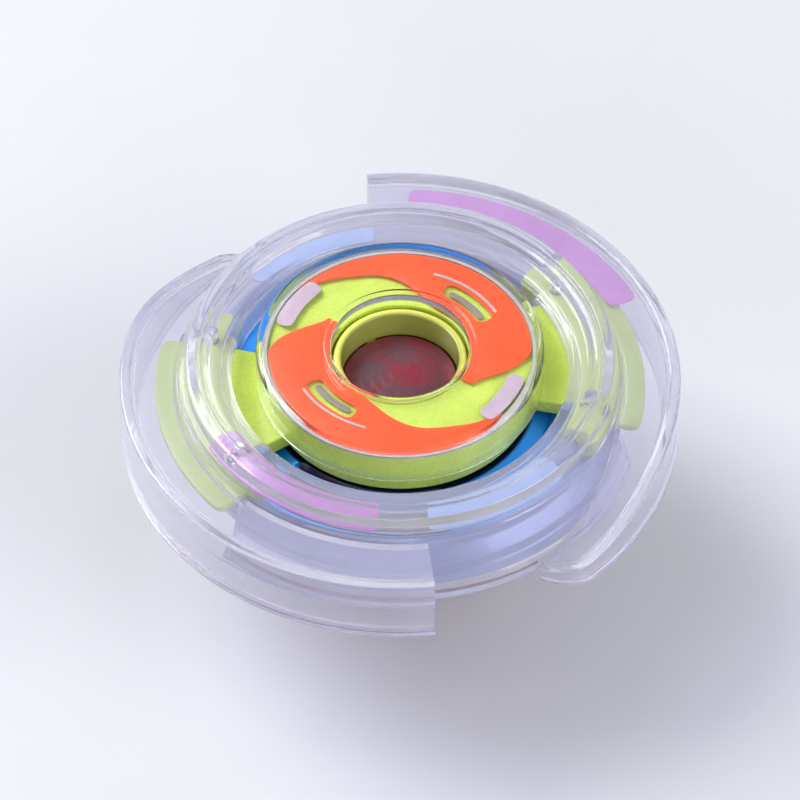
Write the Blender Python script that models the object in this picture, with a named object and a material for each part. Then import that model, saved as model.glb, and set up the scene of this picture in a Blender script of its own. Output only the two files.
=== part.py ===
"""Light-up battle top: a clear two-wing attack ring over a metal disc and a lit, free-running driver.

Metres, +Z up. The origin is on the spin axis, where the foot of the tip meets the ground.
Angles are in degrees, counter-clockwise from +X seen from above.
"""

import math

import bmesh
import bpy
from mathutils import Matrix

MM = 0.001

# Clearances
FIT = 0.15 * MM                  # between pieces pressed or glued together
SEAT = 0.2 * MM                  # between pieces stacked on each other

# Overall
WING_RADIUS = 24.0 * MM          # tips of the two wings: 48 mm across
TOTAL_HEIGHT = 24.3 * MM

# Tip and its ball bearing
FOOT_RADIUS = 3.0 * MM
TIP_RADIUS = 3.7 * MM
TIP_HEIGHT = 4.2 * MM
SHAFT_RADIUS = 1.5 * MM
SHAFT_TOP = 9.3 * MM
BEARING_BOTTOM = 5.45 * MM
BEARING_TOP = 8.25 * MM
INNER_RACE_RADIUS = 2.1 * MM
OUTER_RACE_RADIUS = 4.1 * MM
RACE_WALL = 0.5 * MM
BALL_RADIUS = 0.6 * MM
BALL_COUNT = 7

# Driver case
CASE_RADIUS = 14.0 * MM
CASE_WALL = 0.9 * MM
CASE_BOTTOM = 4.5 * MM
CASE_FLOOR = 8.7 * MM
CASE_RIM = 13.6 * MM
COVER_TOP = 14.4 * MM
COLUMN_RADIUS = 4.6 * MM
COLUMN_BORE = 3.55 * MM
COLUMN_TOP = 19.9 * MM
BOSS_RADIUS = 2.0 * MM
BOSS_DISTANCE = 10.9 * MM
BOSS_ANGLES = (60, 180, 300)
SCREW_SHANK = 0.6 * MM
SCREW_HEAD = 1.3 * MM
SCREW_HEAD_BOTTOM = 8.3 * MM
SCREW_SEAT = 9.3 * MM            # the case's shoulder that a screw head bears on

# Electrics
CELL_RADIUS = 3.95 * MM          # LR41 button cell, 7.9 x 3.6 mm
CELL_HEIGHT = 3.6 * MM
CELL_BOTTOM = 9.2 * MM
CELL_DISTANCE = 8.9 * MM
CELL_ANGLES = (0, 120, 240)
BOARD_BOTTOM = 13.0 * MM
BOARD_TOP = 13.6 * MM
LED_RADIUS = 1.4 * MM
LED_DISTANCE = 1.85 * MM
LED_ANGLES = {"red": 90, "green": 210, "blue": 330}
SWITCH_PIVOT = (-6.2 * MM, -2.2 * MM)
SWITCH_ARM = 4.6 * MM
SWITCH_WEIGHT_RADIUS = 0.8 * MM
SWITCH_CONTACT_AT = (-8.5 * MM, 2.4 * MM)

# Twist lock between driver and layer
TAB_ANGLES = (90, 270)
TAB_HALF_ANGLE = 22
CLAW_HALF_ANGLE = 25
TWIST_TRAVEL = 60
STOP_WIDTH = 10
STOP_CLEARANCE = 2
TAB_RADIUS = 6.7 * MM
TAB_BOTTOM = 18.9 * MM
TAB_TOP = 19.9 * MM
CLAW_INNER = 5.0 * MM
CLAW_BOTTOM = 17.8 * MM
CLAW_TOP = 18.7 * MM
LOCK_RING_INNER = 4.9 * MM
LOCK_RING_OUTER = 7.5 * MM
LOCK_RING_BOTTOM = 16.5 * MM
LOCK_RING_TOP = 17.3 * MM
LOCK_TOOTH = 0.3 * MM
LOCK_TEETH = 12
SPRING_RADIUS = 6.2 * MM
SPRING_WIRE = 0.14 * MM
SPRING_TURNS = 3

# Metal disc
DISC_INNER = 9.0 * MM
DISC_OUTER = 18.6 * MM
DISC_BOTTOM = 14.6 * MM
DISC_TOP = 18.3 * MM
DISC_WEB_BOTTOM = 15.5 * MM
DISC_WINDOWS = ((42, 110), (222, 290))
DISC_WINDOW_BAND = (11.2 * MM, 14.2 * MM)

# Layer
BORE_RADIUS = 5.0 * MM
COLLAR_RADIUS = 5.7 * MM
COLLAR_BOTTOM = 20.1 * MM
COLLAR_TOP = 22.75 * MM
HUB_RADIUS = 12.3 * MM
HUB_WALL = 0.6 * MM
FRAME_PLATE_BOTTOM = 22.0 * MM
FRAME_PLATE_TOP = 22.9 * MM
FRAME_BOTTOM = 18.7 * MM
FRAME_TUBE = 7.6 * MM
ARM_TOP = 20.4 * MM
ARM_ANGLES = (11, 191)
ARM_HALF_ANGLE = 24
PAD_HALF_ANGLE = 36
PAD_INNER = 15.5 * MM
PAD_OUTER = 17.7 * MM
OUTER_PAD = (-25, 33)            # from its arm's middle
OUTER_PAD_RADIUS = 21.0 * MM
OUTER_PAD_BOTTOM = 18.55 * MM
OUTER_PAD_TOP = 19.2 * MM
PAD_CLEARANCE = 2                # degrees, at each end of an arm or a pad
FRAME_SCREW_DISTANCE = 16.6 * MM
FRAME_SCREW_ANGLES = (-13, 35, 167, 215)
FRAME_SCREW_HEAD = 0.75 * MM
FRAME_SCREW_SHANK = 0.45 * MM
FRAME_SCREW_HEAD_TOP = 19.4 * MM
FRAME_SCREW_TOP = 21.7 * MM

# Attack ring: a turned body with a flared skirt, and two wings outside it
RING_INNER = 14.4 * MM
RING_LIP = 21.6 * MM
RING_CREST = 22.9 * MM
RING_CEILING = 20.9 * MM
SKIRT_TOP_RADIUS = 18.5 * MM
SKIRT_TOP = 22.3 * MM
SKIRT_BOTTOM_RADIUS = 20.9 * MM
SKIRT_BOTTOM = 15.1 * MM
SKIRT_WALL = 1.2 * MM
WING_ANGLES = (0, 180)
WING_START = 124
WING_FULL = 172
WING_END = 277
WING_LEAD = 9                    # over this angle its tip draws out to the full radius
WING_TIP_DRAW = 2.6 * MM
WING_WALL = 1.1 * MM
WING_FOOT = 14.2 * MM
WING_LOW = 16.2 * MM
WING_TOP = 20.6 * MM
SHELF_THICKNESS = 0.9 * MM

# Decals
DECAL_THICKNESS = 0.2 * MM
HUB_DECAL_BOTTOM = 23.05 * MM
SWOOSH_STARTS = (148, 328)
SWOOSH_SPAN = 172
RING_DECAL_BOTTOM = 20.55 * MM
RING_DECAL_BAND = (15.6 * MM, 17.6 * MM)
RING_PURPLE = (207, 264)
RING_BLUE_STARTS = (98, 278)
RING_BLUE_SPAN = 42
WING_DECAL_BOTTOM = 19.4 * MM
WING_DECAL_TOP = 19.55 * MM
WING_DECAL_BAND = (20.0 * MM, 22.6 * MM)
WING_PURPLE = (25, 88)

# Facets round turned shapes
RING_SEGMENTS = 60               # the attack ring
SEGMENTS = 40                    # other large pieces
LENS_SEGMENTS = 28               # the lens and the ball cage
SMALL_SEGMENTS = 20              # the tip, the bearing and the cells
PIN_SEGMENTS = 16                # bosses, pins and recesses
SCREW_SEGMENTS = 14              # case screws and LEDs
HOLE_SEGMENTS = 12               # screw holes and the thinnest pins
TINY_SEGMENTS = 8                # holes for the frame's screws
SMOOTH_ANGLE = math.radians(35)


def clear_scene():
    for item in list(bpy.data.objects):
        bpy.data.objects.remove(item, do_unlink=True)


def polar(radius, degrees):
    angle = math.radians(degrees)
    return radius * math.cos(angle), radius * math.sin(angle)


def smoothstep(t):
    t = min(max(t, 0.0), 1.0)
    return t * t * (3.0 - 2.0 * t)


# Materials

def plastic(name, color, roughness=0.35, transmission=0.0):
    return surface(name, color, roughness, 0.0, transmission)


def metal(name, color, roughness=0.3):
    return surface(name, color, roughness, 1.0, 0.0)


def surface(name, color, roughness, metallic, transmission):
    material = bpy.data.materials.new(name)
    material.use_nodes = True
    shader = material.node_tree.nodes["Principled BSDF"]
    shader.inputs["Base Color"].default_value = (*color, 1.0)
    shader.inputs["Roughness"].default_value = roughness
    shader.inputs["Metallic"].default_value = metallic
    shader.inputs["Transmission Weight"].default_value = transmission
    material.diffuse_color = (*color, 1.0)
    return material


# Shapes: each returns a bmesh with one closed skin

def turned(profile, segments=SEGMENTS):
    """Turn (radius, height) points round Z: a loop off the axis, or a line that starts and ends on it."""
    bm = bmesh.new()
    verts = [bm.verts.new((radius, 0.0, height)) for radius, height in profile]
    edges = [bm.edges.new(pair) for pair in zip(verts, verts[1:])]
    if profile[0][0] > 0.0:
        edges.append(bm.edges.new((verts[-1], verts[0])))
    bmesh.ops.spin(
        bm, geom=verts + edges, cent=(0, 0, 0), axis=(0, 0, 1),
        angle=math.tau, steps=segments, use_merge=True,
    )
    bmesh.ops.remove_doubles(bm, verts=bm.verts, dist=0.0001 * MM)
    bmesh.ops.recalc_face_normals(bm, faces=bm.faces)
    return bm


def rod(radius, bottom, top, segments=SMALL_SEGMENTS):
    return turned([(0, bottom), (radius, bottom), (radius, top), (0, top)], segments)


def lofted(sections, closed):
    """Join equal loops of points, section to section, and cap the ends unless they meet."""
    bm = bmesh.new()
    loops = [[bm.verts.new(point) for point in section] for section in sections]
    count = len(loops[0])
    pairs = list(zip(loops, loops[1:]))
    if closed:
        pairs.append((loops[-1], loops[0]))
    for near, far in pairs:
        for i in range(count):
            j = (i + 1) % count
            bm.faces.new((near[i], near[j], far[j], far[i]))
    if not closed:
        bm.faces.new(loops[0])
        bm.faces.new(loops[-1])
    bmesh.ops.recalc_face_normals(bm, faces=bm.faces)
    return bm


def band(inner, outer, bottom, top, start, end, steps=8):
    """Slab between two radii over an arc; a radius may be a number or a function of 0..1 along it."""
    sections = []
    for step in range(steps + 1):
        t = step / steps
        degrees = start + (end - start) * t
        near = polar(inner(t) if callable(inner) else inner, degrees)
        far = polar(outer(t) if callable(outer) else outer, degrees)
        sections.append([(*near, bottom), (*far, bottom), (*far, top), (*near, top)])
    return lofted(sections, closed=False)


def coil(radius, wire, bottom, top, turns, steps=14, sides=6):
    sections = []
    for step in range(turns * steps + 1):
        t = step / (turns * steps)
        degrees = 360 * turns * t
        height = bottom + wire + (top - bottom - 2 * wire) * t
        section = []
        for side in range(sides):
            reach, rise = polar(wire, 360 * side / sides)
            section.append((*polar(radius + reach, degrees), height + rise))
        sections.append(section)
    return lofted(sections, closed=False)


# Objects

def empty(name, location=(0, 0, 0), parent=None):
    item = bpy.data.objects.new(name, None)
    item.location = location
    item.parent = parent
    bpy.context.scene.collection.objects.link(item)
    return item


def node(name, shape, material, parent, location=(0, 0, 0), turn=0.0):
    """Make one named piece from a bmesh, or from the mesh of a piece that it repeats."""
    if isinstance(shape, bmesh.types.BMesh):
        mesh = bpy.data.meshes.new(name)
        shape.to_mesh(mesh)
        shape.free()
        mesh.materials.append(material)
        mesh.shade_smooth()
        mesh.set_sharp_from_angle(angle=SMOOTH_ANGLE)
    else:
        mesh = shape
    item = bpy.data.objects.new(name, mesh)
    item.parent = parent
    item.location = location
    item.rotation_euler.z = math.radians(turn)
    bpy.context.scene.collection.objects.link(item)
    return item


def combine(item, shape, operation, location=(0, 0, 0)):
    """Add a shape to a piece, or cut it out, and keep the tool as a hidden wire object."""
    tool_name = f"{item.name}_{operation.lower()}_{len(item.modifiers)}"
    mesh = bpy.data.meshes.new(tool_name)
    shape.to_mesh(mesh)
    shape.free()
    tool = bpy.data.objects.new(tool_name, mesh)
    tool.parent = item.parent
    tool.location = location
    tool.hide_render = True
    tool.display_type = "WIRE"
    bpy.context.scene.collection.objects.link(tool)
    modifier = item.modifiers.new(operation.title(), "BOOLEAN")
    modifier.operation = operation
    modifier.solver = "EXACT"
    modifier.object = tool


def add(item, shape, location=(0, 0, 0)):
    combine(item, shape, "UNION", location)


def cut(item, shape, location=(0, 0, 0)):
    combine(item, shape, "DIFFERENCE", location)


# Tip and bearing

def make_tip(body):
    neck = INNER_RACE_RADIUS
    socket = SHAFT_RADIUS + FIT
    socket_floor = 1.6 * MM
    profile = [
        (0, 0),
        (FOOT_RADIUS, 0),
        (3.5 * MM, 0.25 * MM),
        (TIP_RADIUS, 0.8 * MM),
        (TIP_RADIUS, 1.8 * MM),
        (2.9 * MM, 3.2 * MM),
        (2.6 * MM, TIP_HEIGHT),
        (neck, TIP_HEIGHT),
        (neck, BEARING_BOTTOM - FIT),
        (socket, BEARING_BOTTOM - FIT),
        (socket, socket_floor),
        (0, socket_floor),
    ]
    node("tip", turned(profile, SMALL_SEGMENTS), plastic("tip_acetal", (0.85, 0.86, 0.88)), body)

    steel = metal("tip_steel", (0.72, 0.73, 0.75))
    node("tip_shaft", rod(SHAFT_RADIUS, socket_floor + FIT, SHAFT_TOP), steel, body)

    clip_radius = 2.8 * MM
    clip_bottom = BEARING_TOP + FIT
    clip_top = clip_bottom + 0.5 * MM
    clip = [
        (SHAFT_RADIUS + FIT, clip_bottom),
        (clip_radius, clip_bottom),
        (clip_radius, clip_top),
        (SHAFT_RADIUS + FIT, clip_top),
    ]
    node("shaft_clip", turned(clip, SMALL_SEGMENTS), steel, body)


def race_profile(inner, outer):
    return [(inner, BEARING_BOTTOM), (outer, BEARING_BOTTOM), (outer, BEARING_TOP), (inner, BEARING_TOP)]


def make_bearing(tip_body, cage_body, driver_body):
    steel = metal("bearing_steel", (0.66, 0.67, 0.70), 0.2)
    inner = race_profile(SHAFT_RADIUS + FIT, INNER_RACE_RADIUS)
    node("bearing_inner_race", turned(inner, SMALL_SEGMENTS), steel, tip_body)
    outer = race_profile(OUTER_RACE_RADIUS - RACE_WALL, OUTER_RACE_RADIUS)
    node("bearing_outer_race", turned(outer, SMALL_SEGMENTS), steel, driver_body)

    pitch = (INNER_RACE_RADIUS + OUTER_RACE_RADIUS - RACE_WALL) / 2
    middle = (BEARING_BOTTOM + BEARING_TOP) / 2
    half_width = 0.3 * MM
    half_height = 0.4 * MM
    strip = [
        (pitch - half_width, middle - half_height),
        (pitch + half_width, middle - half_height),
        (pitch + half_width, middle + half_height),
        (pitch - half_width, middle + half_height),
    ]
    cage = node("bearing_ball_cage", turned(strip, LENS_SEGMENTS), steel, cage_body)
    for index in range(BALL_COUNT):
        ball = bmesh.new()
        bmesh.ops.create_uvsphere(ball, u_segments=8, v_segments=6, radius=BALL_RADIUS)
        degrees = 360 * (index + 0.5) / BALL_COUNT
        bmesh.ops.rotate(ball, verts=ball.verts, matrix=Matrix.Rotation(math.radians(degrees), 3, "Z"))
        add(cage, ball, (*polar(pitch, degrees), middle))


# Driver

def make_driver_base(body):
    pocket = OUTER_RACE_RADIUS + FIT
    shaft_opening = 3.0 * MM
    profile = [
        (shaft_opening, CASE_BOTTOM),
        (5.2 * MM, CASE_BOTTOM),
        (5.8 * MM, 4.9 * MM),
        (12.4 * MM, 8.3 * MM),
        (13.6 * MM, 9.1 * MM),
        (CASE_RADIUS, 10.0 * MM),
        (CASE_RADIUS, CASE_RIM),
        (CASE_RADIUS - CASE_WALL, CASE_RIM),
        (CASE_RADIUS - CASE_WALL, CASE_FLOOR + SEAT),
        (CASE_RADIUS - CASE_WALL - SEAT, CASE_FLOOR),
        (pocket, CASE_FLOOR),
        (pocket, BEARING_BOTTOM - FIT),
        (shaft_opening, BEARING_BOTTOM - FIT),
    ]
    red = plastic("case_red", (0.62, 0.05, 0.06), 0.2, 0.6)
    base = node("driver_base", turned(profile), red, body)
    boss_root = CASE_FLOOR - 0.5 * MM
    for degrees in BOSS_ANGLES:
        place = (*polar(BOSS_DISTANCE, degrees), 0)
        add(base, rod(BOSS_RADIUS, boss_root, CASE_RIM, PIN_SEGMENTS), place)
    for degrees in BOSS_ANGLES:
        place = (*polar(BOSS_DISTANCE, degrees), 0)
        cut(base, rod(SCREW_SHANK + FIT, CASE_BOTTOM, CASE_RIM + SEAT, HOLE_SEGMENTS), place)
        cut(base, rod(SCREW_HEAD + SEAT, CASE_BOTTOM, SCREW_SEAT, PIN_SEGMENTS), place)


def make_driver_cover(body):
    cup_wall = (7.7 * MM, 8.3 * MM)
    cup_top = 16.4 * MM
    plate_bottom = CASE_RIM + SEAT
    profile = [
        (COLUMN_BORE, plate_bottom),
        (CASE_RADIUS, plate_bottom),
        (CASE_RADIUS, COVER_TOP),
        (cup_wall[1], COVER_TOP),
        (cup_wall[1], cup_top),
        (cup_wall[0], cup_top),
        (cup_wall[0], COVER_TOP),
        (COLUMN_RADIUS, COVER_TOP),
        (COLUMN_RADIUS, COLUMN_TOP),
        (COLUMN_BORE, COLUMN_TOP),
    ]
    red = plastic("cover_red", (0.62, 0.05, 0.06), 0.2, 0.6)
    cover = node("driver_cover", turned(profile), red, body)
    root = (COLUMN_RADIUS + COLUMN_BORE) / 2
    for degrees in TAB_ANGLES:
        span = (degrees - TAB_HALF_ANGLE, degrees + TAB_HALF_ANGLE)
        add(cover, band(root, TAB_RADIUS, TAB_BOTTOM, TAB_TOP, *span, steps=6))
    for degrees in BOSS_ANGLES:
        place = (*polar(BOSS_DISTANCE, degrees), 0)
        cut(cover, rod(SCREW_SHANK + FIT, CASE_RIM, COVER_TOP + SEAT, HOLE_SEGMENTS), place)


def make_case_screws(body):
    head_top = SCREW_SEAT - FIT
    shank_top = COVER_TOP - SEAT
    profile = [
        (0, SCREW_HEAD_BOTTOM),
        (SCREW_HEAD - 0.2 * MM, SCREW_HEAD_BOTTOM),
        (SCREW_HEAD, SCREW_HEAD_BOTTOM + 0.3 * MM),
        (SCREW_HEAD, head_top),
        (SCREW_SHANK, head_top),
        (SCREW_SHANK, shank_top),
        (0, shank_top),
    ]
    shape = turned(profile, SCREW_SEGMENTS)
    steel = metal("screw_steel", (0.55, 0.56, 0.58))
    for index, degrees in enumerate(BOSS_ANGLES, start=1):
        place = (*polar(BOSS_DISTANCE, degrees), 0)
        shape = node(f"case_screw_{index}", shape, steel, body, place).data


def make_cells(body):
    cap = 3.2 * MM
    shoulder = 0.2 * MM
    top = CELL_BOTTOM + CELL_HEIGHT
    profile = [
        (0, CELL_BOTTOM),
        (CELL_RADIUS, CELL_BOTTOM),
        (CELL_RADIUS, top - 2 * shoulder),
        (CELL_RADIUS - shoulder, top - shoulder),
        (cap, top - shoulder),
        (cap, top),
        (0, top),
    ]
    shape = turned(profile, SMALL_SEGMENTS)
    steel = metal("cell_steel", (0.78, 0.78, 0.76), 0.25)
    for index, degrees in enumerate(CELL_ANGLES, start=1):
        place = (*polar(CELL_DISTANCE, degrees), 0)
        shape = node(f"button_cell_{index}", shape, steel, body, place).data

    strip_band = (6.6 * MM, 8.6 * MM)
    strip_half_angle = 150
    under_cells = (CASE_FLOOR + FIT, CELL_BOTTOM - FIT)
    strip = band(*strip_band, *under_cells, -strip_half_angle, strip_half_angle, steps=20)
    node("cell_contact_strip", strip, metal("contact_nickel", (0.74, 0.72, 0.66)), body)


def make_board(body):
    board_radius = CASE_RADIUS - CASE_WALL - SEAT
    green = plastic("board_green", (0.05, 0.26, 0.12))
    board_segments = 36
    notch = BOSS_RADIUS + 0.3 * MM
    board = node("led_board", rod(board_radius, BOARD_BOTTOM, BOARD_TOP, board_segments), green, body)
    for degrees in BOSS_ANGLES:
        place = (*polar(BOSS_DISTANCE, degrees), 0)
        cut(board, rod(notch, BOARD_BOTTOM - SEAT, BOARD_TOP + SEAT, PIN_SEGMENTS), place)

    chip_top = BOARD_BOTTOM - FIT
    profile = [
        (0, chip_top - 0.75 * MM),
        (1.0 * MM, chip_top - 0.65 * MM),
        (1.7 * MM, chip_top - 0.3 * MM),
        (1.9 * MM, chip_top),
        (0, chip_top),
    ]
    node("flasher_chip", turned(profile, PIN_SEGMENTS), plastic("chip_epoxy", (0.02, 0.02, 0.02)), body)


def led_shape():
    bottom = BOARD_TOP + FIT
    flange = LED_RADIUS + 0.1 * MM
    flange_top = bottom + 0.6 * MM
    dome_start = 17.2 * MM
    dome_steps = 3
    profile = [
        (0, bottom),
        (flange, bottom),
        (flange, flange_top),
        (LED_RADIUS, flange_top),
    ]
    for step in range(dome_steps):
        reach, rise = polar(LED_RADIUS, 90 * step / dome_steps)
        profile.append((reach, dome_start + rise))
    profile.append((0, dome_start + LED_RADIUS))
    return turned(profile, SCREW_SEGMENTS)


def make_leds(body):
    tints = {"red": (0.9, 0.05, 0.05), "green": (0.05, 0.8, 0.15), "blue": (0.05, 0.2, 0.9)}
    for name, degrees in LED_ANGLES.items():
        epoxy = plastic(f"led_{name}_epoxy", tints[name], 0.1, 0.7)
        node(f"led_{name}", led_shape(), epoxy, body, (*polar(LED_DISTANCE, degrees), 0))


def make_lens(body):
    plug = COLUMN_BORE - SEAT
    rim = COLUMN_RADIUS + 0.2 * MM
    seat = COLUMN_TOP + FIT
    plug_foot = seat - 0.6 * MM
    profile = [
        (0, plug_foot),
        (plug, plug_foot),
        (plug, seat),
        (rim, seat),
        (rim, seat + 0.2 * MM),
        (0.85 * rim, seat + 0.35 * MM),
        (0.5 * rim, seat + 0.45 * MM),
        (0, seat + 0.5 * MM),
    ]
    red = plastic("lens_red", (0.7, 0.04, 0.08), 0.12, 0.7)
    node("lens_cap", turned(profile, LENS_SEGMENTS), red, body)


# Centrifugal switch

def make_switch(driver_body, lever_body):
    foot = CASE_FLOOR + FIT
    head = BOARD_BOTTOM - FIT
    pin = 0.5 * MM
    contact = 0.4 * MM
    brass = metal("switch_brass", (0.75, 0.55, 0.22))
    pivot_place = (*SWITCH_PIVOT, 0)
    contact_place = (*SWITCH_CONTACT_AT, 0)
    node("switch_post", rod(pin, foot, head, PIN_SEGMENTS), brass, driver_body, pivot_place)
    node("switch_contact", rod(contact, foot, head, HOLE_SEGMENTS), brass, driver_body, contact_place)

    arm_bottom = 10.6 * MM
    arm_top = 11.4 * MM
    arm_width = 0.7 * MM
    arm_middle = (0, SWITCH_ARM / 2 + 0.3 * MM, (arm_bottom + arm_top) / 2)
    weight_bottom = 9.6 * MM
    weight_top = 12.4 * MM
    eye = 1.15 * MM
    lever = node("switch_lever", rod(eye, arm_bottom, arm_top, PIN_SEGMENTS), brass, lever_body)
    arm = bmesh.new()
    bmesh.ops.create_cube(arm, size=1.0)
    arm_size = (arm_width, SWITCH_ARM - eye, arm_top - arm_bottom - 0.2 * MM)
    bmesh.ops.scale(arm, verts=arm.verts, vec=arm_size)
    add(lever, arm, arm_middle)
    weight = rod(SWITCH_WEIGHT_RADIUS, weight_bottom, weight_top, PIN_SEGMENTS)
    add(lever, weight, (0, SWITCH_ARM, 0))
    cut(lever, rod(pin + FIT, arm_bottom - SEAT, arm_top + SEAT, PIN_SEGMENTS))


# Spring-loaded lock ring

def make_lock_ring(ring_body, driver_body):
    sections = []
    tooth = 360 / LOCK_TEETH
    flank = 0.08 * tooth
    for index in range(LOCK_TEETH):
        start = index * tooth
        stations = (
            (start, LOCK_RING_TOP),
            (start + tooth / 2 - flank, LOCK_RING_TOP),
            (start + tooth / 2 + flank, LOCK_RING_TOP + LOCK_TOOTH),
            (start + tooth - flank, LOCK_RING_TOP + LOCK_TOOTH),
        )
        for degrees, top in stations:
            near = polar(LOCK_RING_INNER, degrees)
            far = polar(LOCK_RING_OUTER, degrees)
            bottom = LOCK_RING_BOTTOM
            sections.append([(*near, bottom), (*far, bottom), (*far, top), (*near, top)])
    white = plastic("lock_ring_nylon", (0.82, 0.82, 0.78))
    node("lock_ring", lofted(sections, closed=True), white, ring_body)

    steel = metal("spring_steel", (0.70, 0.71, 0.73))
    shape = coil(SPRING_RADIUS, SPRING_WIRE, COVER_TOP + FIT, LOCK_RING_BOTTOM - FIT, SPRING_TURNS)
    node("lock_spring", shape, steel, driver_body)


# Metal disc

def make_disc(body):
    rim = 15.6 * MM
    ridge = 11.6 * MM
    profile = [
        (DISC_INNER, DISC_WEB_BOTTOM),
        (rim - 0.4 * MM, DISC_WEB_BOTTOM),
        (rim, DISC_BOTTOM),
        (DISC_OUTER - 0.4 * MM, DISC_BOTTOM),
        (DISC_OUTER, DISC_BOTTOM + 0.4 * MM),
        (DISC_OUTER, DISC_TOP - 1.2 * MM),
        (DISC_OUTER - 1.1 * MM, DISC_TOP),
        (rim, DISC_TOP),
        (rim - 0.7 * MM, DISC_TOP - 1.0 * MM),
        (ridge, DISC_TOP - 0.1 * MM),
        (DISC_INNER, DISC_TOP - 0.9 * MM),
    ]
    blue = metal("disc_blue", (0.02, 0.16, 0.60), 0.25)
    disc = node("metal_disc", turned(profile), blue, body)
    through = (DISC_WEB_BOTTOM - SEAT, DISC_TOP + SEAT)
    for window in DISC_WINDOWS:
        cut(disc, band(*DISC_WINDOW_BAND, *through, *window, steps=8))


# Layer

def skirt_radius(height):
    """Outer radius of the flared skirt at a height."""
    flare = (SKIRT_BOTTOM_RADIUS - SKIRT_TOP_RADIUS) / (SKIRT_TOP - SKIRT_BOTTOM)
    return SKIRT_TOP_RADIUS + (SKIRT_TOP - height) * flare


def ring_body():
    inner_wall = RING_INNER + 0.9 * MM
    inner_edge = skirt_radius(RING_CEILING - 0.5 * MM) - SKIRT_WALL
    return turned([
        (RING_INNER, FRAME_BOTTOM),
        (RING_INNER, RING_LIP),
        (RING_INNER + 0.4 * MM, RING_LIP + 0.4 * MM),
        (16.2 * MM, RING_LIP + 0.5 * MM),
        (16.7 * MM, RING_CREST - 0.3 * MM),
        (17.6 * MM, RING_CREST),
        (18.2 * MM, RING_CREST - 0.1 * MM),
        (SKIRT_TOP_RADIUS, SKIRT_TOP),
        (SKIRT_BOTTOM_RADIUS, SKIRT_BOTTOM),
        (SKIRT_BOTTOM_RADIUS - SKIRT_WALL, SKIRT_BOTTOM),
        (inner_edge, RING_CEILING - 0.5 * MM),
        (inner_edge - 0.5 * MM, RING_CEILING),
        (inner_wall + 0.2 * MM, RING_CEILING),
        (inner_wall, RING_CEILING - 0.2 * MM),
        (inner_wall, FRAME_BOTTOM),
    ], RING_SEGMENTS)


def wing_section(degrees):
    """A shelf out from the skirt and a wall down from its edge; the shelf ramps up behind the wing's tip."""
    ramp = smoothstep((degrees - WING_START) / (WING_FULL - WING_START))
    lead = min((degrees - WING_START) / WING_LEAD, 1.0)
    top = WING_LOW + (WING_TOP - WING_LOW) * ramp
    outer = WING_RADIUS - WING_TIP_DRAW * (1 - lead) ** 2
    bevel = 0.4 * MM
    root = skirt_radius(top) - 0.4 * MM
    inside = outer - WING_WALL
    return [
        (root, top - SHELF_THICKNESS),
        (root, top),
        (outer - bevel, top),
        (outer, top - bevel),
        (outer, WING_FOOT + 0.5 * MM),
        (outer - bevel, WING_FOOT),
        (inside, WING_FOOT),
        (inside, top - SHELF_THICKNESS),
    ]


def wing(turn):
    tip_steps = 5
    steps = 28
    full = WING_START + WING_LEAD
    angles = [WING_START + WING_LEAD * step / tip_steps for step in range(tip_steps)]
    angles += [full + (WING_END - full) * step / steps for step in range(steps + 1)]
    sections = []
    for degrees in angles:
        section = wing_section(degrees)
        sections.append([(*polar(radius, degrees + turn), height) for radius, height in section])
    return lofted(sections, closed=False)


def make_attack_ring(body):
    clear = plastic("clear_pc", (0.93, 0.94, 1.0), 0.08, 0.95)
    ring = node("attack_ring", ring_body(), clear, body)
    arm_gap = ARM_HALF_ANGLE + PAD_CLEARANCE
    wall = (RING_INNER - SEAT, PAD_INNER)
    skirt = (PAD_OUTER, SKIRT_BOTTOM_RADIUS + SEAT)
    for degrees in ARM_ANGLES:
        over_arm = (degrees - arm_gap, degrees + arm_gap)
        cut(ring, band(*wall, FRAME_BOTTOM - SEAT, ARM_TOP + SEAT, *over_arm, steps=6))
        pad_start = degrees + OUTER_PAD[0] - PAD_CLEARANCE
        pad_end = degrees + OUTER_PAD[1] + PAD_CLEARANCE
        under_pad = (SKIRT_BOTTOM - SEAT, OUTER_PAD_TOP + SEAT)
        cut(ring, band(*skirt, *under_pad, pad_start, pad_end, steps=12))
    for degrees in WING_ANGLES:
        add(ring, wing(degrees))
    screw_hole = FRAME_SCREW_SHANK + FIT
    for degrees in FRAME_SCREW_ANGLES:
        place = (*polar(FRAME_SCREW_DISTANCE, degrees), 0)
        cut(ring, rod(screw_hole, RING_CEILING - SEAT, FRAME_SCREW_TOP + SEAT, TINY_SEGMENTS), place)


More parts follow.
